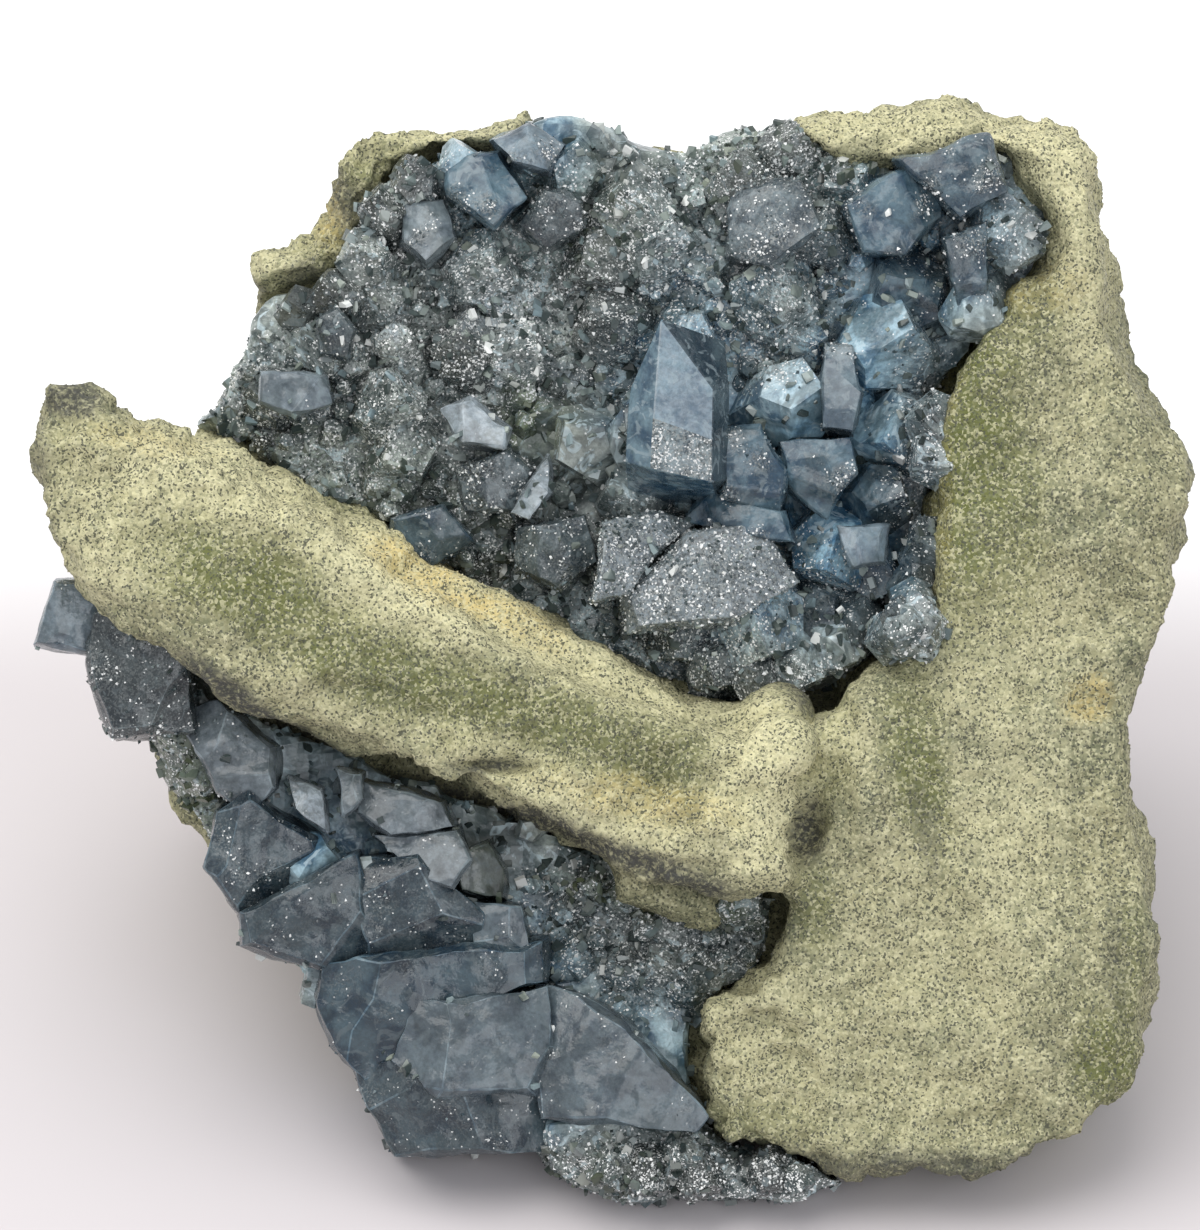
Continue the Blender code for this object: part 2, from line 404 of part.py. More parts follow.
def keep_largest(item):
    """Drops loose chips that a cut left beside the main body."""
    bm = bmesh.new()
    bm.from_mesh(item.data)
    bm.verts.ensure_lookup_table()
    unseen = set(bm.verts)
    groups = []
    while unseen:
        start = unseen.pop()
        group = {start}
        edge_of_group = [start]
        while edge_of_group:
            vertex = edge_of_group.pop()
            for edge in vertex.link_edges:
                other = edge.other_vert(vertex)
                if other in unseen:
                    unseen.remove(other)
                    group.add(other)
                    edge_of_group.append(other)
        groups.append(group)
    groups.sort(key=len)
    for group in groups[:-1]:
        bmesh.ops.delete(bm, geom=list(group), context="VERTS")
    bm.to_mesh(item.data)
    bm.free()


def floor_block():
    """Everything above the plane that the stone stands on."""
    bm = bmesh.new()
    bmesh.ops.create_cube(bm, size=FLOOR_BLOCK_WIDTH * MM)
    bmesh.ops.translate(bm, verts=bm.verts, vec=(0, 0, FLOOR_BLOCK_WIDTH / 2.0 * MM))
    return object_from(bm, "floor_block")


def host_rock(material):
    bm = bmesh.new()
    prism(bm, BODY, (POCKET_FLOOR, 0.0, POCKET_SLOPE), BODY_BACK, BODY_TAPER, BODY_BEVEL)
    body = object_from(bm, "host_rock")
    boolean(body, stone_blank(), "INTERSECT")
    bm = bmesh.new()
    bm.from_mesh(body.data)
    for slab in ROCK_SLABS:
        prism(bm, *slab)
    bm.to_mesh(body.data)
    bm.free()
    fuse(body, ROCK_VOXEL)
    lumpy(body, ROCK_LUMPS, 1, still=on_pocket_floor)
    thin_out(body, ROCK_TRIANGLES)
    boolean(body, floor_block(), "INTERSECT")
    body.data.materials.clear()
    body.data.materials.append(material)
    return body


def quartz_point(target, tip, axis, half_width, length, turn, rng):
    """Adds one crystal: six prism sides under three large and three small end faces."""
    bm = bmesh.new()
    bmesh.ops.create_cube(bm, size=2.0 * length)
    setback = rng.uniform(*END_SETBACK_SHARE) * half_width
    for side in range(6):
        angle = turn + side * math.tau / 6.0
        outward = Vector((math.cos(angle), math.sin(angle), 0.0))
        cut_off(bm, outward * half_width * rng.uniform(*PRISM_SIDE_SHARE), outward)
        slope = outward * math.sin(END_FACE_SLOPE) + Vector((0, 0, math.cos(END_FACE_SLOPE)))
        cut_off(bm, slope * setback * (side % 2), slope)
    bmesh.ops.recalc_face_normals(bm, faces=bm.faces)
    rearward = axis.cross(Vector((1, 0, 0))).normalized()
    sideways = rearward.cross(axis)
    turned = Matrix((sideways, rearward, axis)).transposed().to_4x4()
    bmesh.ops.transform(bm, matrix=Matrix.Translation(tip) @ turned, verts=bm.verts)
    mesh = bpy.data.meshes.new("crystal")
    bm.to_mesh(mesh)
    bm.free()
    target.from_mesh(mesh)
    bpy.data.meshes.remove(mesh)


def add_crystal(target, row, root, rng):
    """Adds a crystal of a list, long enough to reach down to its root depth."""
    across, up, out, half_width, lean_right, lean_up = row
    turn = rng.uniform(0.0, math.tau / 6.0)
    tip = on_face(across, up, out)
    lean = Vector((math.tan(math.radians(lean_right)), math.tan(math.radians(lean_up)), 1.0)).normalized()
    axis = (on_face(lean.x, lean.y, lean.z) - on_face(0, 0, 0)).normalized()
    length = max((out - root) / lean.z, half_width * STUBBIEST_CRYSTAL)
    quartz_point(target, tip, axis, half_width * MM, length * MM, turn, rng)


def inside(outline, across, up):
    """Whether a point of the face lies within an outline."""
    hit = False
    before = outline[-1]
    for point in outline:
        if (point[1] > up) != (before[1] > up):
            crossing = before[0] + (up - before[1]) * (point[0] - before[0]) / (point[1] - before[1])
            if across < crossing:
                hit = not hit
        before = point
    return hit


def filler_rows(outline, level, crystals, spacing, half_widths, rng):
    """Small crystals between the named ones, on a jittered grid, wholly inside the outline."""
    rows = []
    low_across = min(across for across, up in outline)
    high_across = max(across for across, up in outline)
    low_up = min(up for across, up in outline)
    high_up = max(up for across, up in outline)
    up = low_up
    while up < high_up:
        across = low_across
        while across < high_across:
            place_across = across + rng.uniform(-FILLER_JITTER, FILLER_JITTER) * spacing
            place_up = up + rng.uniform(-FILLER_JITTER, FILLER_JITTER) * spacing
            half_width = rng.uniform(*half_widths)
            lean = (rng.uniform(*FILLER_LEAN_RIGHT), rng.uniform(*FILLER_LEAN_UP))
            rise = rng.uniform(*FILLER_RISE)
            clear = all(math.hypot(row[0] - place_across, row[1] - place_up)
                        > FILLER_FREE_RADIUS * row[3] for row in crystals)
            sides = ((place_across - half_width, place_up), (place_across + half_width, place_up),
                     (place_across, place_up - half_width), (place_across, place_up + half_width))
            if clear and all(inside(outline, *side) for side in sides):
                depth = level[0] + level[1] * place_across + level[2] * place_up
                rows.append((place_across, place_up, depth + rise, half_width, *lean))
            across += spacing
        up += spacing
    return rows


def add_block(target, row, root, rng):
    """Adds a blocky crystal: its front face, narrow slanting sides behind it, and its root."""
    level, slope_across, slope_up, corners = row
    middle_across = sum(across for across, up in corners) / len(corners)
    middle_up = sum(up for across, up in corners) / len(corners)
    rings = []
    for spread, drop in BLOCK_SIDES:
        ring = []
        for across, up in corners:
            right = (across - middle_across) * spread
            rise = (up - middle_up) * spread
            depth = root
            if drop is not None:
                depth = level + slope_across * right + slope_up * rise
                depth -= drop * rng.uniform(*BLOCK_DROP_SPREAD)
            ring.append(target.verts.new(on_face(middle_across + right, middle_up + rise, depth)))
        rings.append(ring)
    faces = [target.faces.new(rings[0]), target.faces.new(list(reversed(rings[-1])))]
    count = len(corners)
    for near, far in zip(rings, rings[1:]):
        for index in range(count):
            after = (index + 1) % count
            faces.append(target.faces.new((near[index], far[index], far[after], near[after])))
    bmesh.ops.recalc_face_normals(target, faces=faces)


def add_hull(target, corners):
    """Adds a crystal as the hull of its corners."""
    bm = bmesh.new()
    for corner in corners:
        bm.verts.new(on_face(*corner))
    bmesh.ops.convex_hull(bm, input=bm.verts)
    mesh = bpy.data.meshes.new("hull")
    bm.to_mesh(mesh)
    bm.free()
    target.from_mesh(mesh)
    bpy.data.meshes.remove(mesh)


def crystal_bed(name, neighbours, material):
    """A crust with its crystals, grown together, kept clear of its neighbours by a fine gap."""
    bed_plan = BEDS[name]
    rng = random.Random(bed_plan["seed"])
    bm = bmesh.new()
    for outline, front, back in bed_plan["slabs"]:
        prism(bm, outline, front, back, bevel=CRUST_BEVEL)
    bed = object_from(bm, name)
    fuse(bed, CRUST_VOXEL)
    lumpy(bed, CRUST_LUMPS, bed_plan["seed"])
    thin_out(bed, bed_plan["triangles"][0])
    covers = [row[-1] for row in bed_plan["blocks"]]
    covers += [[corner[:2] for corner in hull] for hull in bed_plan["hulls"]]
    groups = list(bed_plan["groups"])
    crystals, root = groups[0]
    if bed_plan["filler"]:
        outline, front, back = bed_plan["slabs"][0]
        groups.append((filler_rows(outline, front, crystals, *bed_plan["filler"], rng), root))
    bm = bmesh.new()
    for rows, root_depth in groups:
        for row in rows:
            if not any(inside(cover, row[0], row[1]) for cover in covers):
                add_crystal(bm, row, root_depth, rng)
    for row in bed_plan["blocks"]:
        add_block(bm, row, root, rng)
    for corners in bed_plan["hulls"]:
        add_hull(bm, corners)
    boolean(bed, object_from(bm, name + "_crystals"), "UNION", self_crossing=True)
    thin_out(bed, bed_plan["triangles"][1])
    # These two cuts meet many sliver facets, where the exact solver can lose the whole body
    for neighbour in neighbours:
        boolean(bed, grown_copy(neighbour), "DIFFERENCE", solver="MANIFOLD")
    above_floor = floor_block()
    above_floor.location.z = FLOOR_GAP * MM
    boolean(bed, above_floor, "INTERSECT", solver="MANIFOLD")
    keep_largest(bed)
    bed.data.materials.clear()
    bed.data.materials.append(material)
    return bed


def grown_copy(neighbour):
    """A neighbour made fatter all round by the clearance."""
    cutter = bpy.data.objects.new("grown_copy", neighbour.data.copy())
    bpy.context.scene.collection.objects.link(cutter)
    places = [vertex.co + vertex.normal * CLEARANCE * MM for vertex in cutter.data.vertices]
    for vertex, place in zip(cutter.data.vertices, places):
        vertex.co = place
    return cutter


def build():
    clear_scene()
    rock_finish = principled("pale_granular_rock", (0.62, 0.60, 0.40), 0.9)
    quartz_finish = principled("blue_grey_quartz", (0.16, 0.23, 0.30), 0.25)
    rock = host_rock(rock_finish)
    upper_bed = crystal_bed("upper_crystal_bed", [rock], quartz_finish)
    crystal_bed("lower_crystal_bed", [rock], quartz_finish)
    crystal_bed("side_crystal_cluster", [rock, upper_bed], quartz_finish)


build()
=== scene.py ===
"""Blue quartz specimen: the finish of its granular rock and of its crystals.

Places on the leaning crystal face are (across, up, out) in millimetres: across to the right,
up along the face, and out from it. Everything else is in metres, in the frame of the solids.
"""
import math
import random

import bmesh
import bpy
import numpy as np
from mathutils import Matrix, Vector, noise


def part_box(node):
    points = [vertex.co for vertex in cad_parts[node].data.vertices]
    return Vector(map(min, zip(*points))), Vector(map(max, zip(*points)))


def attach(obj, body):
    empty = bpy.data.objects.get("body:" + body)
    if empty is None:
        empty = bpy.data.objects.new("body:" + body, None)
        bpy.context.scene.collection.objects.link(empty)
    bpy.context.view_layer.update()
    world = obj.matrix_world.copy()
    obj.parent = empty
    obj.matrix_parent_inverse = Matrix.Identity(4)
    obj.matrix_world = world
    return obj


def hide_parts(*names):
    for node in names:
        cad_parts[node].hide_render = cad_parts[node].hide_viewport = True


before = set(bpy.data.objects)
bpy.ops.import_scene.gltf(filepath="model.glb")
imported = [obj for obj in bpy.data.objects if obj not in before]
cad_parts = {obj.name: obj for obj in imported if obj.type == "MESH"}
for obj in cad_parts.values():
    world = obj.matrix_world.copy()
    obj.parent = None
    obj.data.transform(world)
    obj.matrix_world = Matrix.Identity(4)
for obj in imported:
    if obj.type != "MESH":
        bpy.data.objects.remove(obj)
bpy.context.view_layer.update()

# Driving sizes, in millimetres and degrees
MM = 0.001
FACE_LEAN = math.radians(35.0)
FACE_CENTRE_HEIGHT = 37.5
END_FACE_SLOPE = math.radians(51.8)
FLOOR_GAP = 0.4

# The photograph is 1200 pixels wide and IMAGE_HEIGHT pixels high; PIXEL is what one pixel shows of the face
IMAGE_HEIGHT = 1230
PIXEL = 0.075
CAMERA_DISTANCE = 650.0
CAMERA_ELEVATION = math.radians(35.0)

# The cells that the rock and the crusts are remeshed with
ROCK_VOXEL = 0.55
CRUST_VOXEL = 0.9

# The fine relief of the rock fades out this far above its base
ROCK_SETTLE = 2.0

# A patch ends at this many times its half width. It has its full strength in front of one depth
# and is gone behind another, and its edge wanders by layers of noise: (strength, size, seed)
PATCH_REACH = 1.6
PAINT_FULL = -9.0
PAINT_END = -20.0
PAINT_WOBBLE = ((0.34, 2.6, 4), (0.2, 0.9, 9))

# Uneven ground in layers of noise, as (height, size of its features), the rock's as (height,
# more height where it is ragged, size), and how far the whole surface is drawn in
CRUST_RELIEF = ((0.9, 7.0), (0.7, 3.0))
CRUST_SINK = 0.3
BLOCK_RELIEF = ((0.42, 3.0), (0.16, 1.1))
ROCK_RELIEF = ((0.5, 0.0, 5.0), (0.42, 0.5, 2.0), (0.34, 0.4, 0.9))
ROCK_SINK = 0.12
RAGGED_SINK = 0.25

# The hollows of the rock fade out behind the face
HOLLOW_REAR = -14.0
HOLLOW_FADE = 4.0

# Where fine crystal grows on blocks: the size of its patches, and the noise that it starts at
BLOCK_GROWTH_SIZE = 2.4
BLOCK_GROWTH_START = 0.1

# A slab's front starts this far behind the front that its table gives
CRUST_EDGE_DROP = 0.4

# Six-sided crystals, in shares of the half width: how far the small end faces are set back, how
# far out the sides stand, and the least length
END_FACE_SETBACK = (0.15, 0.5)
SIDE_REACH = (0.86, 1.08)
LEAST_LENGTH = 1.6

# Each block: how far its sides spread and drop behind its front face, ring by ring, to the root;
# how many facets cut its front, how far out from its middle they start, and their tilts in degrees;
# how much its sides' drop varies; and the longest edge of the small faces that make it uneven, with
# the rounds of splitting that make them
BLOCK_SIDES = ((1.0, 0.0), (1.16, 0.9), (1.26, None))
BLOCK_FACETS = 3
FACET_PLACE = (0.3, 0.75)
FACET_TILT = (10.0, 34.0)
DROP_VARIATION = (0.8, 1.3)
WEATHER_EDGE = 0.6
WEATHER_ROUNDS = 4

# Bevels, the least angle between faces that gets one, and the least that shades as an edge
CRYSTAL_BEVEL = 0.05
BLOCK_BEVEL = 0.06
POINT_BEVEL = 0.07
BEVEL_ANGLE = math.radians(22.0)
SHARP_ANGLE = math.radians(26.0)

# Shares of clear crystals among the named ones, the fillers and the finest fillers
CLEAR_SHARES = (0.4, 0.25, 0.15)

# What is strewn: (number a square metre, smallest and largest in millimetres, tilt in radians)
STREWN_SETTINGS = ("Density", "Smallest", "Largest", "Sideways")
DRUSE = (3.5e6, 0.16, 0.36, 0.8)
SHARDS = (0.75e6, 0.3, 1.0, 3.1)
GRAINS = (2.0e6, 0.12, 0.30, 3.1)

# Where it grows: how much more towards the face's front, how much on what looks sideways or to the
# rear, from which share of sugar, in crowds of which size, and from how far above the base
BED_FACING = 1.5
ROCK_FACING = 2.0
LEVEL_GROWTH = 0.6
REAR_GROWTH = 0.1
DRUSE_START = 0.2
SHARD_CROWD_SIZE = 4.0
GRAIN_START = 0.6

# Their forms, about one unit across: how many cuts a shard has, how far out, and its width and
# thickness; how far a grain's corners reach and are shifted; and how tall a druse point is
SHARD_CUTS = 3
SHARD_REACH = (0.38, 0.5)
SHARD_WIDTH = (0.6, 1.0)
SHARD_THICKNESS = 0.45
GRAIN_REACH = (0.38, 0.6)
GRAIN_SHIFT = 0.12
DRUSE_HEIGHT = 1.4

# Refractive index of quartz
QUARTZ_IOR = 1.544

# Lights: (diameter in metres, watts, direction, distance in metres, colour), and the sky's strength
KEY = (0.90, 4.5, (-0.34, 0.04, 0.94), 0.65, (1.0, 0.98, 0.94))
FILL = (0.60, 1.7, (0.30, -0.85, 0.45), 0.8, (0.94, 0.97, 1.0))
SKY_COLOUR = (0.93, 0.95, 1.0, 1.0)
SKY_STRENGTH = 0.84
FLOOR_HALF_WIDTH = 3.0
# The floor goes from a greyer colour at the front to white behind, between two depths in metres: painted
# shade at the front
FLOOR_NEAR_SHADED = (0.60, 0.562, 0.570)
FLOOR_FAR = (0.95, 0.95, 0.95)
FLOOR_SHADE_FADE = (0.040, 0.085)

# Outlines on the face, as (across, up)
UPPER_BED = [
    (-31.5, 14.5), (-29, 16), (-28.3, 18.5), (-26.7, 21), (-24.6, 24.3), (-17.5, 25.8), (-17.5, 29),
    (-16, 32.3), (-13, 34.6), (-7.5, 35), (-5, 38), (0, 37.5), (3.5, 35.5), (7, 35), (10.5, 37.4), (15, 37),
    (17, 35), (20, 33.7), (29, 35.2), (31.5, 33.3), (34, 31), (34, 25.8), (30.5, 24.8), (28.4, 20.8),
    (25.3, 16), (25, 8), (24.6, 1), (20, -4), (14, -6.8), (7.5, -6), (0, -2.5), (-7.5, 1), (-13.5, 5.3),
    (-20, 8.5), (-25.5, 12.5),
]
LOWER_BED = [
    (-30, -5.5), (-25.5, -8), (-20, -10.5), (-13.5, -12.5), (-7.5, -15), (1.5, -18.5), (10.5, -20.7),
    (13.6, -21), (13, -25), (11.3, -27.3), (7, -29.7), (7, -38.5), (-4, -39.5), (-13, -39.7), (-16, -37.5),
    (-18.2, -33), (-20, -29), (-26, -25), (-28.7, -19), (-30.5, -15.5), (-33.2, -12), (-32, -9),
]
LEFT_EDGE = [
    (-38.5, 0.5), (-34, -0.5), (-31, -3.5), (-28.5, -7), (-30.5, -11.5), (-35, -8.8), (-37.8, -4),
]
FOOT_CRUST = [
    (-4, -38), (6.8, -37.8), (9.5, -40.3), (19, -42), (18, -43.3), (9, -44.2), (-1, -43.3), (-4, -41.5),
]
SIDE_POCKET = [
    (20.7, 1.2), (24, 1.6), (26.3, -0.5), (24.8, -3.6), (22, -1.8),
]

# Crystals as (across, up, out, half width, lean right, lean up), with leans in degrees
UPPER_CRYSTALS = [
    (-9.6, 33.2, -2.0, 2.5, 25, 30), (-5.6, 36.3, -2.6, 2.2, -15, 25), (-4.6, 30.8, -2.4, 2.5, 15, -10),
    (-1.6, 35.4, -3.4, 2.1, 10, 35), (-12.6, 29.2, -3.2, 2.9, -20, 20), (-22.4, 22.2, -3.8, 2.7, -30, 25),
    (-19.6, 21.3, -2.6, 2.1, 10, 15), (-16.1, 21.6, -2.6, 1.3, -20, 30), (-23.2, 16.8, -2.8, 3.1, -12, -8),
    (-26.6, 17.2, -5.0, 2.2, -30, 15), (-15.2, 16.4, -2.8, 2.7, 12, 8), (-10.0, 14.8, -2.2, 2.4, 4, 2),
    (-6.2, 10.2, -2.2, 2.7, 18, -16), (-4.3, 3.2, -3.0, 3.2, -14, -24), (-12.0, 5.6, -3.4, 2.3, -24, -16),
    (-10.6, 21.4, -2.9, 2.5, -10, 22), (-4.8, 20.2, -3.0, 2.4, 28, 12), (-2.6, 14.4, -3.0, 2.5, -26, 20),
    (2.2, 16.2, -3.0, 2.9, -20, 44), (5.3, 12.6, 0.4, 3.3, 6, -20), (3.2, 4.2, 0.6, 4.0, -22, 24),
    (8.0, 1.4, 0.4, 4.1, 20, -10), (12.6, -3.0, -0.6, 3.6, 12, -30), (11.0, 7.6, -1.6, 3.6, -14, 22),
    (15.6, 10.4, -1.0, 3.7, 16, 16), (20.4, 5.2, -2.0, 2.9, 22, -16), (16.8, 17.2, -1.8, 2.9, 32, 20),
    (21.4, 13.0, -2.4, 3.1, -14, -12), (17.0, 3.4, -1.6, 3.2, -8, -22), (12.0, 26.2, -2.4, 3.3, -18, 26),
    (5.6, 29.6, -3.0, 3.3, 16, 18), (10.0, 34.4, -2.6, 3.2, -16, 34), (17.0, 29.2, -1.9, 2.6, 10, 6),
    (22.2, 30.6, -1.6, 2.7, -10, 14), (26.2, 33.4, -0.8, 3.5, 12, 32), (28.2, 28.8, -1.0, 3.3, 28, -14),
    (32.0, 30.4, -0.4, 2.5, 24, 22), (32.2, 26.8, -0.8, 2.1, 18, -26), (23.6, 21.6, -1.6, 3.7, 24, 12),
    (8.8, 20.4, -4.2, 2.4, 34, -6), (15.2, 36.6, -4.4, 2.3, 24, 34), (13.4, 21.6, -4.8, 2.6, -30, 12),
    (23.0, 9.0, -3.0, 2.4, 34, 4), (-1.4, 26.0, -3.6, 2.7, -22, -16), (24.0, 15.0, -0.8, 2.2, -26, 10),
    (23.8, 11.4, -0.4, 2.1, -30, -8), (23.6, 5.6, -0.6, 2.2, -24, 12), (27.2, 21.6, -0.6, 2.3, -18, -24),
    (22.9, 1.6, -0.8, 2.0, -20, -16), (19.2, -2.2, -1.6, 1.9, -6, -28), (-8.0, 26.8, -2.8, 2.7, 16, 10),
    (1.6, 32.0, -2.4, 3.0, -14, 16), (-17.6, 25.0, -4.2, 2.3, -22, 24), (-0.8, 22.4, -3.4, 2.9, -24, 8),
    (13.0, 31.2, -2.6, 2.6, 22, 8), (22.4, 2.0, -3.0, 2.3, 26, -20), (17.6, -1.8, -3.0, 2.7, 16, -26),
    (0.6, 9.6, -3.6, 2.7, -32, 6), (-16.0, 11.4, -4.0, 2.6, -16, -18), (21.6, 25.6, -2.4, 3.0, -22, 16),
    (5.6, -3.2, -2.6, 2.4, -10, -34), (-18.8, 27.8, -2.4, 2.0, -20, 20), (-17.0, 31.6, -2.6, 1.9, -15, 25),
    (-14.4, 34.0, -2.4, 1.8, -10, 30), (-20.8, 25.2, -2.4, 1.9, -20, 25), (-10.6, 35.4, -2.4, 1.6, 0, 35),
    (-23.6, 23.8, -3.0, 1.7, -25, 20), (8.6, -5.4, -2.0, 1.9, 0, -34), (12.0, -6.2, -1.8, 1.8, 8, -36),
    (15.6, -5.2, -1.4, 2.0, 14, -30), (18.8, -3.6, -1.2, 1.7, 20, -24),
]
LOWER_CRYSTALS = [
    (-28.4, -8.2, -0.4, 3.0, -20, 26), (-26.6, -12.6, 0.6, 3.2, 14, -8), (-22.4, -13.2, 0.4, 1.8, 22, 18),
    (-18.6, -12.9, 0.6, 1.7, -14, 24), (-25.6, -17.2, 1.8, 4.5, -28, 10),
    (-21.6, -22.4, 2.2, 4.5, -16, -24), (-15.2, -14.6, 1.2, 2.9, 22, 26), (-12.0, -17.6, 1.8, 3.0, -16, 16),
    (-8.6, -19.4, 1.6, 2.7, 4, 4), (-13.0, -22.6, 2.6, 4.0, 22, -10), (-7.4, -24.0, 1.6, 3.2, -10, 22),
    (-16.2, -27.8, 2.8, 4.2, -24, 6), (-9.8, -28.0, 2.2, 3.4, 18, -14), (-12.0, -32.0, 3.8, 3.6, -12, 22),
    (-7.2, -32.2, 3.4, 3.4, 20, 12), (-0.6, -32.4, 3.8, 4.8, 10, 26), (-16.6, -33.2, 1.4, 3.0, -34, -8),
    (-12.6, -36.8, 2.6, 4.2, -20, -32), (-6.2, -37.0, 2.6, 3.7, 10, -34), (4.2, -35.0, 2.4, 3.0, 24, -16),
    (-1.8, -24.6, -2.6, 2.2, 16, 24), (3.6, -26.4, -2.8, 2.0, -22, 10), (12.0, -22.4, -1.6, 2.0, 32, -10),
    (8.2, -26.0, -2.6, 1.9, 16, 20), (-20.4, -17.4, 1.2, 2.4, 24, 28), (2.4, -29.6, -0.6, 2.4, 30, 32),
    (-31.2, -11.6, -1.4, 1.9, -36, 10),
]
LEFT_EDGE_CRYSTALS = [
    (-38.2, 0.6, -0.4, 2.7, -44, -6), (-40.3, -0.6, -2.0, 2.2, -52, -14), (-33.0, -1.6, 1.6, 2.7, 22, 30),
    (-34.6, -5.4, 1.8, 3.7, -14, -18), (-32.6, -6.6, 1.0, 2.2, 18, -24), (-36.4, -2.2, 0.6, 2.3, -30, 22),
]
FOOT_CRYSTALS = [
    (-1.8, -39.8, 3.4, 1.8, -20, 14), (2.0, -40.2, 4.0, 1.9, 14, 22), (5.6, -40.6, 4.2, 1.8, -10, 8),
    (0.2, -42.2, 4.2, 1.7, -16, -20), (4.0, -42.8, 4.6, 1.8, 12, -24), (8.2, -42.4, 4.6, 1.7, 20, -8),
    (12.0, -42.6, 4.2, 1.4, -14, -18), (15.4, -42.6, 3.8, 1.1, 20, -14),
]
SIDE_CRYSTALS = [
    (21.8, 0.6, 3.0, 1.4, -20, 26), (23.8, -0.6, 4.2, 2.0, 18, 10), (24.4, -2.4, 3.6, 1.6, 10, -34),
    (24.8, 0.8, 3.0, 1.3, 30, 22),
]

# The slabs under the crystals: (outline, front as (depth, change across, change up), back),
# and the crystals on them with the depth that they reach down to
UPPER_SLABS = [(UPPER_BED, (-7.6, 0.0, 0.03), -14.0)]
UPPER_GROUPS = [(UPPER_CRYSTALS, -10.5)]
LOWER_SLABS = [
    (LOWER_BED, (-6.2, 0.0, -0.08), -12.0), (LEFT_EDGE, (-2.2, 0.0, 0.0), -12.0),
    (FOOT_CRUST, (2.2, 0.0, 0.0), -8.0),
]
LOWER_GROUPS = [(LOWER_CRYSTALS, -7.5), (LEFT_EDGE_CRYSTALS, -5.0), (FOOT_CRYSTALS, -1.0)]
SIDE_SLABS = [(SIDE_POCKET, (2.0, 0.0, 0.0), -2.0)]
SIDE_GROUPS = [(SIDE_CRYSTALS, -2.0)]

# Fillers between the named crystals: (spacing, half widths, how much of the width of a named
# crystal stays clear, rises above the slab), with their jitter and their leans in degrees
UPPER_FILLERS = ((4.3, (1.4, 2.3), 0.85, (0.4, 1.4)), (2.0, (0.5, 1.0), 0.8, (0.5, 2.0)))
LOWER_FILLERS = ((4.4, (1.3, 2.1), 0.85, (0.4, 1.4)), (2.8, (0.6, 1.0), 0.8, (0.5, 2.0)))
FILLER_JITTER = 0.4
FILLER_LEAN_RIGHT = (-38, 38)
FILLER_LEAN_UP = (-30, 38)

# What a crystal stores about its look
LOOK_NAMES = ("blue", "pale", "shade", "sugar", "green", "tone")

# Kinds of crystal face, as shares of (blue, pale, shade, sugar)
LOOKS = {
    "blue": (1.0, 0.0, 0.1, 0.0), "light blue": (0.95, 0.42, 0.0, 0.0), "slate": (0.9, 0.0, 0.3, 0.12),
    "grey": (0.5, 0.15, 0.15, 0.35), "light": (0.75, 0.2, 0.0, 0.0), "pale": (0.45, 0.45, 0.0, 0.0),
    "white": (0.0, 1.0, 0.0, 0.0), "dark": (0.5, 0.0, 0.55, 0.3), "green": (0.15, 0.2, 0.1, 0.0),
    "sugar": (0.3, 0.6, 0.0, 1.0), "violet": (0.4, 0.0, 0.35, 0.3),
}
